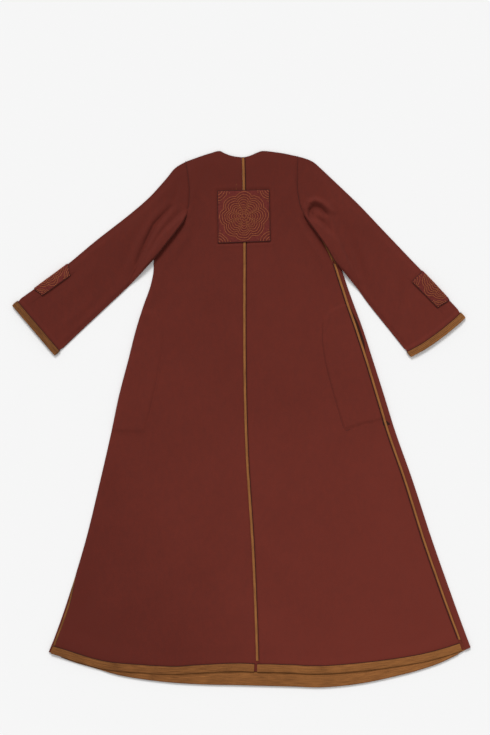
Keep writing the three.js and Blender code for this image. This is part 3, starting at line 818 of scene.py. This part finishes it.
def makeCentreStrip():
    rows = []
    for t in stripRows(0.9992):
        y = centreEdge(t).y
        x = stripAt(y)
        rows.append(stripRow(x, y, body["centreStrip"], onBack(x - 3, y) + 0.25, 0))
    return rows


def makeLeftStrip():
    rows = []
    for t in [t for t in bodyRows if t <= body["underarm"]["left"]]:
        fold = leftFold(t)
        rows.append([fold["at"](fold["seam"] - 0.3 - body["leftStrip"] * (1 - k / 8)) for k in range(9)])
    return rows


def makeRightStrip():
    rows = []
    for t in stripRows(body["stripTop"]):
        outer = rightSeam(t)
        width = lerp(4.4, 5.1, clamp(t / 0.6, 0, 1))
        rows.append(stripRow(outer.x - gap - width / 2, outer.y, width, rightBackHeight(outer) - 0.5, 5))
    return rows


addCloth("seamCentre", makeCentreStrip(), "seam_centre", ["strip"], stripCloth, turnedGrain=True)
addCloth("seamLeft", makeLeftStrip(), "seam_left", ["reverse"], stripCloth, turnedGrain=True)
addCloth("seamRight", makeRightStrip(), "seam_right", ["strip"], stripCloth, turnedGrain=True)


# Turned-up hems
def hemStops(width, side, cuts=8, turns=8):
    stops = [(width * (1 - k / cuts * 0.85), side) for k in range(cuts)]
    for k in range(turns + 1):
        angle = math.pi * k / turns
        stops.append((lip - foldRadius * math.sin(angle), side * (0.5 + 0.5 * math.cos(angle))))
    return stops


def hemBand(plan, shares, width, side, heightAt):
    rows = []
    for s in shares:
        end = plan(s, 0)
        along = (plan(min(s + 0.01, 1), 0) - plan(max(s - 0.01, 0), 0)).normalized()
        inward = Vector((-along.y, along.x))
        if inward.y < 0:
            inward.negate()
        wander = 0.5 * noise.noise(Vector((end.x / 30, side, 2)))
        row = []
        for depth, level in hemStops(width + wander, side):
            point = end + inward * (depth - body["hemInset"])
            puff = 0.7 * math.sin(math.pi * clamp(depth / width, 0, 1)) if side > 0 else 0
            ripple = 0.25 * noise.noise(Vector((end.x / 12, depth / 9, 6))) * clamp(depth / width, 0, 1)
            row.append(Vector((point.x, point.y, heightAt(point) + level * layer + level * max(puff + ripple, 0))))
        rows.append(row)
    return rows


hemShares = evenly(0.012, 0.9925, 120)
addCloth("hemBackLeft", hemBand(backLeftPlan, hemShares, body["backHemWidth"], 1, leftBackHeight), "hem_back_left",
         ["reverse", "robe"], rimFace=1, turnedGrain=True)
addCloth("hemBackRight", hemBand(backRightPlan, hemShares[::-1], body["backHemWidth"], 1, rightBackHeight),
         "hem_back_right", ["reverse", "robe"], rimFace=1, turnedGrain=True)
addCloth("hemFront", hemBand(frontPlan, evenly(0.97, 0.03, 160), body["frontHemWidth"], -1, frontHeight),
         "hem_front", ["reverse", "robe"], rimFace=1, turnedGrain=True)
print("hems ready")

# Pocket bags, each folded at its inner edge and open at the side seam
pocketShare = {
    "left": straightThrough(named("y share", (-36, .215), (60, .215), (150, .215), (200, .19), (225, .165),
                                  (262, .09)), "y", "share"),
    "right": straightThrough(named("y share", (-36, .275), (60, .275), (150, .275), (200, .27), (225, .235),
                                   (262, .13), (285, .08), (316, .05)), "y", "share"),
    "low": -16,
    "high": {"left": 259, "right": 314},
}


def makePocket(side, plan, reachOut):
    rows = []
    under = cloth + gap + pocketCloth / 2
    over = under + pocketCloth + gap
    bend = (over - under) / 2
    span = plan(0, 0.8).y - plan(0, 0).y
    for y in evenly(pocketShare["low"], pocketShare["high"][side], 60):
        t = (y - plan(0, 0).y) / span * 0.8
        inner = plan(pocketShare[side](y), t)
        outward = plan(0, t) - inner
        width = outward.length
        outward.normalize()
        stops = [(width + reachOut, under), (width / 2, under)]
        for k in range(9):
            turn = math.pi * (k / 8 - 0.5)
            stops.append((bend * (1 - math.cos(turn)), (under + over) / 2 + bend * math.sin(turn)))
        stops += [(width / 2, over), (width + reachOut, over)]
        rows.append([Vector((inner.x + outward.x * across, inner.y + outward.y * across, height))
                     for across, height in stops])
    return rows


addCloth("pocketLeft", makePocket("left", backLeftPlan, -8), "pocket_left", ["pocket"], pocketCloth)
addCloth("pocketRight", makePocket("right", backRightPlan, 8), "pocket_right", ["pocket"], pocketCloth)

# Sleeves, each a flattened tube from the armhole to the cuff
sleeves = {
    "cuffWidth": 18.5,
    "left": {
        "upper": [(-148, 682), (-176, 665), (-202, 634), (-246, 586), (-302, 538), (-383, 475), (-460, 411),
                  (-524, 363), (-590, 316), (-608, 301)],
        "lower": [(-231, 425), (-289, 363), (-355, 300), (-423, 236), (-473, 188), (-495, 168)],
        "cuff": [(-495, 168), (-552, 235), (-608, 301)],
        "armhole": [(-231, 425), (-211, 465), (-182, 498), (-151.5, 531), (-140, 567), (-138, 607), (-142, 647),
                    (-148, 682)],
        "crease": [(-231, 425), (-200, 465), (-173.6, 498), (-150, 531), (-140, 567), (-138, 607), (-142, 647),
                   (-148, 682)],
        "patch": {"top": 0.15, "bottom": 0.5, "start": 0.705, "end": 0.865, "skew": (-0.012, 0.012)},
        "air": 2.4,  # how far the two layers stand apart
        "roll": {"width": 7, "height": 11},
        "drape": drapeOf(
            (12, 4.5, (-250, 410), (-212, 470), (-182, 528)),
            (9, 5.8, (-268, 405), (-238, 470), (-206, 520), (-176, 556)),
            (6, -6.5, (-278, 408), (-252, 468), (-230, 514), (-186, 562)),
            (11, 4.2, (-300, 396), (-272, 466), (-236, 530), (-200, 570)),
            (15, -1.8, (-330, 360), (-300, 430), (-270, 490)), (15, 1.6, (-200, 610), (-260, 530), (-320, 470)),
            (9, -1.4, (-168, 640), (-172, 600), (-186, 566)), (20, 1.8, (-380, 410), (-440, 350), (-490, 300)),
            (14, 1.4, (-420, 300), (-470, 250), (-510, 220)), (12, -1.2, (-350, 340), (-400, 290), (-440, 250)),
            (2.4, -1.5, (-488, 186), (-440, 226), (-375, 276)), (12, -1.0, (-500, 330), (-530, 290), (-552, 262))),
    },
    "right": {
        "upper": [(149, 696), (168, 691), (189, 682), (208, 666), (242, 634), (309, 570), (369, 507), (430, 443),
                  (491, 379), (550, 316), (594, 269)],
        "lower": [(264.5, 398), (306, 348), (341, 300), (392, 236), (430, 188), (449, 164)],
        "cuff": [(449, 164), (492, 188), (537, 220), (576, 252), (594, 269)],
        "armhole": [(264.5, 398), (253, 425), (230, 465), (207, 498), (173, 531), (163, 549), (155.4, 567),
                    (148, 607), (147.5, 647), (149, 696)],
        "crease": [(264.5, 398), (246, 422), (222, 462), (200, 493), (172, 531), (163, 549), (155.4, 567),
                   (148, 607), (147.5, 647), (149, 696)],
        "patch": {"top": 0.195, "bottom": 0.42, "start": 0.71, "end": 0.88, "skew": (0.016, 0.016)},
        "air": 2.6,
        "roll": {"width": 6, "height": 11},
        "drape": drapeOf(
            (10, 4.5, (276, 396), (240, 456), (214, 510), (196, 540)),
            (11, 8.0, (306, 369), (274, 416), (245, 488), (232, 567)),
            (4.5, -9.5, (183, 528), (184, 553), (193, 561), (208, 557), (226, 542)),
            (8, 5.0, (198, 538), (208, 541), (222, 526)),
            (7, 9.0, (171, 532), (172, 556), (180, 573), (196, 579), (214, 572), (240, 550)),
            (6, -2.6, (214, 524), (240, 440), (266, 404)), (12, -3.0, (330, 350), (312, 420), (280, 500)),
            (18, 2.6, (360, 330), (340, 400), (310, 470)), (9, -3.6, (425, 368), (430, 320), (433, 276)),
            (12, 1.6, (400, 380), (404, 330), (410, 280)), (10, 1.4, (450, 330), (452, 290), (456, 250)),
            (16, 1.4, (200, 630), (260, 560), (320, 500)), (14, 1.2, (470, 340), (500, 290), (520, 250))),
    },
}


def sleevePlan(shape, startLine):
    start, end, under, over = (splineThrough(shape[key]) for key in (startLine, "cuff", "lower", "upper"))
    return spanned(under, over, start, end)


def sleeveForm(side):
    shape = sleeves[side]
    patch = shape["patch"]
    patchInner = 1 - patch["bottom"]
    plans = {"under": sleevePlan(shape, "armhole"), "over": sleevePlan(shape, "crease")}
    known = {}

    def lengthAt(plan, s):
        if (plan, s) not in known:
            known[plan, s] = (plans[plan](1, s) - plans[plan](0, s)).length
        return known[plan, s]

    def spot(plan, s, row):
        part, back = row
        return plans[plan](part - back / lengthAt(plan, s), s)

    def atCuff(row):
        width = sleeves["cuffWidth"]
        return fade(row[1], width + 3, width + 14) if row[0] == 1 else 0

    def lift(s, row):
        part = row[0] - row[1] / 600
        over = step(s, patchInner - 0.1, patchInner - 0.02) * step(part, patch["start"] - 0.04, patch["start"] - 0.01)
        return layer * atCuff(row) + (patchCloth + gap) * over * fade(part, patch["end"] + 0.01, patch["end"] + 0.04)

    def low(s, row, out):
        return max(half + lift(s, row) - out, 0.6)

    def high(s, row, out, point):
        part, back = row
        onSquare = step(s, 0.99 - patch["top"], 1 - patch["top"] + 0.02)
        body = lift(1, row) * onSquare + layer * atCuff(row) * (1 - onSquare)
        overBody = layer * fade(s, 0.48, 0.55) * fade(part, 0.04, 0.15) if part < 1 else 0
        calm = step(s, 0, 0.12) * fade(s, 0.9, 1)
        away = part * lengthAt("over", s) - back
        ending = 0.35 if part == 1 else lerp(1, 0.35, step(part, 0.8, 0.95))
        air = lerp(1.2, shape["air"], step(away, 0, 60)) if part < 1 else shape["air"]
        soft = settled(shape["drape"](point.x, point.y) + uneven(point.x, point.y) + air)
        height = half + layer + body + overBody + calm * ending * soft + out
        height += pulledIn(point.x, point.y) * fade(part, 0.05, 0.09)
        lap = fade(s, 0.46, 0.58)
        if part < 0.3:
            height -= (1 - lap) * 1.9 * fade(away, -1.6, 1.4)  # the seam tucks it under the body's edge
        if part < 0.3 and lap > 0:  # the edge that lies over the body is rolled
            roll = math.sqrt(1 - (1 - clamp(away / shape["roll"]["width"], 0, 1)) ** 2)
            roll *= 0.75 + 0.5 * bell(s - 0.32, 0.17)
            height += lap * (shape["roll"]["height"] * roll * fade(part, 0.1, 0.3) - 0.6)
            if part < 0.06:
                onTop = onBack(point.x, point.y) + layer + 0.3
                height = max(height, lerp(height, onTop, min(1, lap * 3)))
        return max(height, half + 0.1) if height < 12 else 12 + 5.5 * math.tanh((height - 12) / 5.5)

    def bottom(s, row, out):
        point = spot("under", s, (row[0], min(row[1], 0.2)) if row[0] == 0 else row)
        return Vector((point.x, point.y, low(s, row, out)))

    def top(s, row, out):
        point = spot("over", s, row)
        return Vector((point.x, point.y, high(s, row, out, point)))

    def fold(s, row, out, reaches=(5, 2.5), turns=10):  # from the under layer to the over layer
        inner = abs(s - 0.12)
        edge = spot("over", s, row)
        lowAt, highAt = low(s, row, out), high(s, row, out, edge)
        quarter = (highAt - lowAt) / 4 * math.pi
        tuck = half + layer * atCuff(row) - out
        alongs = [-quarter - reach for reach in reaches] + evenly(-quarter, quarter, turns)
        alongs += [quarter + reach for reach in reversed(reaches)]
        points = []
        for along in alongs:
            inward = (spot("under" if along < 0 else "over", inner, row) - edge).normalized()
            points.append(roundFold(edge, inward, lowAt, highAt, along, tuck))
        return points

    def ring(row, out=0):
        under = evenly(0.09, patchInner - 0.12, 8) + evenly(patchInner - 0.1, patchInner, 5) + evenly(0.7, 0.91, 6)
        points = [bottom(s, row, out) for s in sorted(set(under))]
        points += fold(1, row, out)
        points += [top(s, row, out) for s in evenly(0.93, 0.07, 98)]
        return points + fold(0, row, out)[::-1]

    return dict(ring=ring, bottom=bottom, top=top, fold=fold, patch=patch, patchInner=patchInner)


def makeSleeve(form):
    rows = [(0, back) for back in (1.2, 0, -0.9, -1.8)]
    rows += [(part, 0) for part in evenly(0.007, 0.3, 76) + evenly(0.307, 0.87, 74)]
    rows += [(1, back) for back in evenly(33, sleeves["cuffWidth"] + 2, 6) + [17, 13, 9, 5, body["hemInset"]]]
    return [form["ring"](row) for row in rows]


def makeCuff(form):
    rows = []
    for depth, level in hemStops(sleeves["cuffWidth"], 1, 9, 8):
        puff = 0.5 * math.sin(math.pi * clamp(depth / sleeves["cuffWidth"], 0, 1)) * level
        rows.append(form["ring"]((1, depth), level * layer + puff))
    return rows


def makeSleevePatch(form, shares=60):
    patch, inner = form["patch"], form["patchInner"]
    out = half + gap + patchCloth / 2
    rows = []
    for share in evenly(0, 1, shares):
        puffed = out + 0.9 * step(min(share, 1 - share), 0, 0.06)

        def rowAt(s):  # the square lies a little askew to the fold
            edge = step(s, 1 - patch["top"], 1)
            return lerp(patch["start"] + patch["skew"][0] * edge, patch["end"] + patch["skew"][1] * edge, share), 0

        line = [form["bottom"](s, rowAt(s), out) for s in evenly(inner, 0.91, 26)]
        line += form["fold"](1, rowAt(1), puffed)
        line += [form["top"](s, rowAt(s), puffed) for s in evenly(0.93, 1 - patch["top"], 14)]
        line[0].z += 0.6
        line[-1].z -= 0.7
        line[-2].z -= 0.25
        rows.append(line)
    return rows


outwardFaces = {"left": ["reverse", "robe"], "right": ["robe", "reverse"]}
for side in ("left", "right"):
    form = sleeveForm(side)
    faces = outwardFaces[side]
    label = side.capitalize()
    addCloth("sleeve" + label, makeSleeve(form), f"sleeve_{side}", faces, closed=True,
             rimFace=faces.index("robe"))
    addCloth("cuff" + label, makeCuff(form), f"cuff_{side}", faces[::-1], closed=True,
             rimFace=faces[::-1].index("robe"))
    addCloth("patchSleeve" + label, makeSleevePatch(form), f"patch_sleeve_{side}", ["patch"], patchCloth)
    print("sleeve ready", side)


def makeBackSquare(count=88):
    a, b, c, d = (Vector(corner) for corner in patchSquare["corners"])
    rows = []
    for v in evenly(0, 1, count):
        row = []
        for u in evenly(0, 1, count):
            point = a.lerp(b, u).lerp(d.lerp(c, u), v)
            inside = min(u, 1 - u, v, 1 - v) * 138
            overStrip = (stripCloth + 0.3) * fade(abs(point.x - stripAt(point.y)), 3.4, 9)
            puff = 1.2 * step(inside, 0, 6) + 0.35 * noise.noise(Vector((u * 22, v * 22, 5)))
            base = max(onBack(point.x, point.y), half + layer)
            row.append(Vector((point.x, point.y, base + half + gap + patchCloth / 2 + overStrip + puff)))
        rows.append(row)
    return rows


addCloth("patchBack", makeBackSquare(), "patch_back", ["patch"], patchCloth)
print("squares ready")


# Stitches: one small thread bead on points along a line
def makeStitchTree():
    tree = bpy.data.node_groups.new("stitch row", "GeometryNodeTree")
    face = tree.interface
    face.new_socket("Geometry", in_out="INPUT", socket_type="NodeSocketGeometry")
    for name, kind, start in (("Pitch", "NodeSocketFloat", 0.004), ("Length", "NodeSocketFloat", 0.003),
                              ("Thickness", "NodeSocketFloat", 0.0008), ("Seed", "NodeSocketInt", 3),
                              ("Thread", "NodeSocketMaterial", None)):
        socket = face.new_socket(name, in_out="INPUT", socket_type=kind)
        if start is not None:
            socket.default_value = start
    face.new_socket("Geometry", in_out="OUTPUT", socket_type="NodeSocketGeometry")
    given = added(tree, "NodeGroupInput").outputs
    curve = added(tree, "GeometryNodeMeshToCurve", {0: given["Geometry"]})
    points = added(tree, "GeometryNodeCurveToPoints", {"Curve": curve.outputs[0], "Length": given["Pitch"]},
                   mode="LENGTH").outputs
    bead = added(tree, "GeometryNodeMeshUVSphere", values={"Segments": 6, "Rings": 3, "Radius": 0.5})
    chance = added(tree, "FunctionNodeRandomValue", {"Seed": given["Seed"]}, {2: 0.82, 3: 1.12}, data_type="FLOAT")
    grown = added(tree, "ShaderNodeMath", {0: chance.outputs[1], 1: given["Length"]}, operation="MULTIPLY")
    thick = given["Thickness"]
    size = added(tree, "ShaderNodeCombineXYZ", {0: thick, 1: thick, 2: grown.outputs[0]})
    placed = added(tree, "GeometryNodeInstanceOnPoints", {
        "Points": points["Points"], "Rotation": points["Rotation"], "Instance": bead.outputs["Mesh"],
        "Scale": size.outputs[0]})
    real = added(tree, "GeometryNodeRealizeInstances", {0: placed.outputs[0]})
    smooth = added(tree, "GeometryNodeSetShadeSmooth", {0: real.outputs[0]})
    coloured = added(tree, "GeometryNodeSetMaterial", {0: smooth.outputs[0], "Material": given["Thread"]})
    added(tree, "NodeGroupOutput", {0: coloured.outputs[0]})
    return tree


stitchTree = makeStitchTree()


def stitchRows(name, lines, thread, pitch, length, thick, slot, seed=3):
    mesh = bpy.data.meshes.new(name)
    points, edges = [], []
    for line in lines:
        start = len(points)
        points += [(p[0], p[1], max(p[2], thick * mm / 2)) for p in line]  # never below the floor
        edges += [(start + k, start + k + 1) for k in range(len(line) - 1)]
    mesh.from_pydata(points, edges, [])
    piece = inScene(name, mesh)
    maker = piece.modifiers.new("stitches", "NODES")
    maker.node_group = stitchTree
    wanted = {"Pitch": pitch * mm, "Length": length * mm, "Thickness": thick * mm, "Seed": seed,
              "Thread": finishes[thread]}
    for socket in stitchTree.interface.items_tree:
        if socket.in_out == "INPUT" and socket.name in wanted:
            maker[socket.identifier] = wanted[socket.name]
    evaluated = piece.evaluated_get(bpy.context.evaluated_depsgraph_get())
    stitched = bpy.data.meshes.new_from_object(evaluated)
    piece.modifiers.clear()
    piece.data = stitched
    stitched.name = name
    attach(piece, "root")
    return piece


def surface(name, u, v, out, hand=1):  # a point on a cloth's face; u across and v along it, from 0 to 1
    grid, normals = made[name]["grid"], made[name]["normals"]
    tall, wide = grid.shape[:2]
    y, x = clamp(v, 0, 1) * (tall - 1), clamp(u, 0, 1) * (wide - 1)
    i, j = min(int(y), tall - 2), min(int(x), wide - 2)
    a, b = y - i, x - j
    place = 0
    for r, c, share in ((i, j, (1 - a) * (1 - b)), (i, j + 1, (1 - a) * b), (i + 1, j, a * (1 - b)),
                        (i + 1, j + 1, a * b)):
        place = place + (grid[r, c] + hand * normals[r, c] * (1 + out)) * share
    return Vector(place)


# The squares' own pattern: an eight-pointed star, echoed outwards, with fans of arcs in the corners
squarePattern = {
    "points": 8,
    "spacing": 0.046,  # between echoes, as a share of the square
    "star": 0.49,
    "hollow": 0.42,  # how deep the star is cut between its points
    "wander": 0.016,
    "stitch": (3.0, 3.0, 1.35),  # pitch, length, thickness
}


def wandering(u, v):
    return squarePattern["wander"] * noise.noise(Vector((u * 9, v * 9, 2.2)))


def starLines(first):
    spec = squarePattern
    lines = []
    for echo in range(int(spec["star"] / spec["spacing"])):
        size = (echo + first) * spec["spacing"]
        hollow = spec["hollow"] * (1 - 0.75 * size / spec["star"])
        line = []
        for k in range(145):
            angle = 2 * math.pi * k / 144
            wave = abs(math.cos(angle * spec["points"] / 2))
            radius = size * (1 - hollow * (1 - wave) ** 1.3)
            u, v = 0.5 + radius * math.cos(angle), 0.5 + radius * math.sin(angle)
            line.append((u + wandering(u, v), v + wandering(v, u)))
        lines.append(line)
    return lines


def cornerFans(first):
    spec = squarePattern
    lines = []
    for cx, cy, start in ((0, 0, 0), (1, 0, 90), (1, 1, 180), (0, 1, 270)):
        for echo in range(8):
            line = []
            for turn in range(25):
                angle = math.radians(start + 90 * turn / 24)
                size = (echo + first) * spec["spacing"]
                u, v = cx + size * math.cos(angle), cy + size * math.sin(angle)
                line.append((u + wandering(u, v), v + wandering(v, u)))
            lines += partsWhere(line, lambda u, v: math.hypot(u - 0.5, v - 0.5) > spec["star"] + 0.03)
    return lines


def partsWhere(line, keep):  # cuts a line where it leaves what is kept
    parts, part = [], []
    for point in line:
        if keep(*point):
            part.append(point)
        elif part:
            parts.append(part)
            part = []
    return [part for part in parts + [part] if len(part) > 1]


def squareEdge(inset):
    low, high = inset, 1 - inset
    ring = [(low, low), (high, low), (high, high), (low, high), (low, low)]
    line = []
    for (ax, ay), (bx, by) in zip(ring, ring[1:]):
        line += [(lerp(ax, bx, k / 24), lerp(ay, by, k / 24)) for k in range(24)]
    return line + [ring[0]]


def byLength(name):  # from a share of the cloth's width to a share of its columns
    middle = made[name]["grid"][made[name]["grid"].shape[0] // 2]
    run = np.concatenate([[0], np.cumsum(np.linalg.norm(np.diff(middle, axis=0), axis=1))])
    return lambda u: float(np.interp(u * run[-1], run, np.linspace(0, 1, len(run))))


def onCloth(name, lines, out, hand):
    columnAt = byLength(name)
    placed = []
    for line in lines:
        for part in partsWhere(line, lambda u, v: 0.02 < u < 0.98 and 0.02 < v < 0.98):
            placed.append([surface(name, columnAt(u), v, out, hand) for u, v in part])
    return placed


def outerHand(name):  # which of the wall's two faces is outside; the first columns lie underneath
    normals = made[name]["normals"]
    return 1 if name == "patchBack" or normals[len(normals) // 2, 4][2] < 0 else -1


for name in ("patchBack", "patchSleeveLeft", "patchSleeveRight"):
    hand = outerHand(name)
    for label, lines, thread in (("Stitching", starLines(1) + cornerFans(1), "gold"),
                                 ("Between", starLines(0.5) + cornerFans(0.5), "rose")):
        stitchRows(name + label, onCloth(name, lines, 0.25, hand), thread, *squarePattern["stitch"], "patch")
    columnAt = byLength(name)
    # the dark border is stitching that is also painted shade along the square's raised edge
    borderAndShade = [surface(name, columnAt(u), v, 0.05, hand) for u, v in squareEdge(0.006)]
    stitchRows(name + "Border", [borderAndShade], "dark", 2.4, 3.2, 1.7, "patch", 9)

seamStitching = []
for name in ("seamCentre", "seamRight"):
    tall = made[name]["grid"].shape[0] * 3
    for u in (0.14, 0.86):
        seamStitching.append([surface(name, u, v / tall, 0.15) for v in range(tall + 1)])
stitchRows("stripStitching", seamStitching, "ochre", 3.4, 2.4, 0.6, "reverse")


def alongBack(points, above):  # a line on the back's outer face
    return [(Vector((x, y, onBack(x, y) + half + above)) + shift) * mm for x, y in points]


def alongSpline(points, count, above):
    return alongBack(map(splineThrough(points), evenly(0, 1, count)), above)


# painted shade: rows of dark thread beside the centre and right strips and along the left seam's crease
besideCentreStrip = []
for t in stripRows(0.999)[1:]:
    y = centreEdge(t).y
    besideCentreStrip.append((stripAt(y) + body["centreStrip"] / 2 + 1.8, y))
besideRightStrip = [rightSeam(t) - Vector((gap + 7.2, 0)) for t in stripRows(body["stripTop"])[1:]]
leftCreaseShade = []
for t in stripRows(2)[1:]:
    fold = leftFold(t)
    if fold["seam"] > 4:
        leftCreaseShade.append((fold["at"](fold["seam"] + 0.3) + shift + Vector((0, 0, half + 0.1))) * mm)
stitchRows("stripShade", [alongBack(besideCentreStrip, 0.25), alongBack(besideRightStrip, 0.25), leftCreaseShade],
           "dark", 2.3, 3.2, 1.9, "robe", 4)
armholeLines = [alongSpline(armhole[side], 120, -0.3) for side in ("left", "right")]
stitchRows("armholeStitching", armholeLines, "dark", 2.3, 3.2, 1.8, "robe", 7)
# painted shade: rows of shade-coloured thread that darken the pockets' pressed lines; the robe has no stitching there
pocketShadeLines = {side: [alongSpline(pockets[side][first:-2], 140, -0.15)] for side, first in (("left", 1), ("right", 3))}
stitchRows("pocketStitching", pocketShadeLines["right"], "shade", 2.5, 3.2, 1.2, "robe", 5)
stitchRows("pocketFaint", pocketShadeLines["left"], "shade", 2.8, 3.2, 0.8, "robe", 5)

edgeLine = 0.012  # from a band's raw edge, as a share of its width
# dark thread along the bands' raw edges: topstitching, thickened into painted shade under the raised edge
hemStitching = [[surface(name, edgeLine, v, 0) for v in evenly(0, 1, 300)] for name in ("hemBackLeft", "hemBackRight")]
stitchRows("hemStitching", hemStitching, "dark", 2.4, 3.2, 2.1, "reverse")
for name in ("cuffLeft", "cuffRight"):
    hand = outerHand(name)
    edge, *rest = [[surface(name, u, v, 0, hand) for u in evenly(0, 1, 240)] for v in (edgeLine, 0.13, 0.26, 0.4)]
    # the dark ring at each cuff's raw edge is stitching that is also painted shade under the raised edge
    stitchRows(name + "Edge", [edge], "dark", 2.4, 3.2, 1.9, "reverse", 6)
    stitchRows(name + "Lines", rest, "umber", 3.2, 3.4, 1.15, "reverse", 8)
print("stitches ready")

# What the camera sees: the height of its view, in pixels of 2.65 mm, and the point it looks down on
view = {"height": 735 * 2.65, "centre": (9.3, 136.37), "lens": 83, "sensor": 36}


def makeCamera():
    data = bpy.data.cameras.new("camera")
    data.sensor_width = view["sensor"]
    data.lens = view["lens"]
    data.clip_end = 50
    x, y = view["centre"]
    camera = inScene("camera", data)
    camera.location = (x * mm, y * mm, view["height"] * mm * view["lens"] / view["sensor"] + 0.003)
    bpy.context.scene.camera = camera


studio = {
    "floor": (0.93, 0.93, 0.93),
    "world": 0.56,
    "sun": dict(place=(-0.35, 2.305, 1.9), angle=20, power=2.15),
}


def makeStudio():
    mesh = bpy.data.meshes.new("floor")
    reach = 30
    mesh.from_pydata([(-reach, -reach, 0), (reach, -reach, 0), (reach, reach, 0), (-reach, reach, 0)], [],
                     [(0, 1, 2, 3)])
    floor = inScene("floor", mesh)
    floor.location.z = -0.0002
    material, tree, shader = newMaterial("paper", studio["floor"], 0.95)
    shader.inputs["Specular IOR Level"].default_value = 0.0
    mesh.materials.append(material)
    world = bpy.data.worlds.new("studio")
    world.use_nodes = True
    sky = world.node_tree.nodes["Background"].inputs
    sky[0].default_value = (1, 1, 1, 1)
    sky[1].default_value = studio["world"]
    bpy.context.scene.world = world
    spec = studio["sun"]
    light = bpy.data.lights.new("sun", "SUN")
    light.angle = math.radians(spec["angle"])
    light.energy = spec["power"]
    lamp = inScene("sun", light)
    lamp.location = spec["place"]
    lamp.rotation_euler = (-Vector(spec["place"])).to_track_quat("-Z", "Y").to_euler()
    bpy.context.scene.view_settings.view_transform = "Standard"
    bpy.context.scene.view_settings.look = "None"


makeCamera()
makeStudio()

objects = bpy.data.objects
cuts = named(
    "name width length under going",  # going: the pieces sewn to it, or how their names go on
    ("backLeft", 0.585, 1.42, "frontPanel", "seamCentre seamLeft pocketFaint"),
    ("backRight", 0.64, 1.42, "frontPanel", "seamRight stripStitching stripShade pocketStitching"),
    ("frontPanel", 1.22, 1.43, "floor", ""), ("hemBackLeft", 0.56, 0.026, "backLeft", "hemStitching"),
    ("hemBackRight", 0.58, 0.026, "backRight", ""), ("hemFront", 1.10, 0.028, "floor", ""),
    ("pocketLeft", 0.24, 0.29, "frontPanel", ""), ("pocketRight", 0.28, 0.34, "frontPanel", ""),
    ("sleeveLeft", 0.62, 0.60, "floor", ""), ("sleeveRight", 0.66, 0.62, "floor", "armholeStitching"),
    ("cuffLeft", 0.37, 0.022, "sleeveLeft", "+Edge +Lines"), ("cuffRight", 0.37, 0.022, "sleeveRight", "+Edge +Lines"),
    ("patchBack", 0.139, 0.139, "backLeft backRight", "+Stitching +Between +Border"),
    ("patchSleeveLeft", 0.15, 0.105, "sleeveLeft", "+Stitching +Between +Border"),
    ("patchSleeveRight", 0.15, 0.105, "sleeveRight", "+Stitching +Between +Border"))
for cut in cuts:
    name, whole = cut["name"], cut["width"] * cut["length"]

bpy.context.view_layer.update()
counts = {piece.name: sum(len(face.vertices) - 2 for face in piece.data.polygons)
          for piece in objects if piece.type == "MESH"}
print("triangles", sum(counts.values()), "most", max(counts.items(), key=lambda item: item[1]))
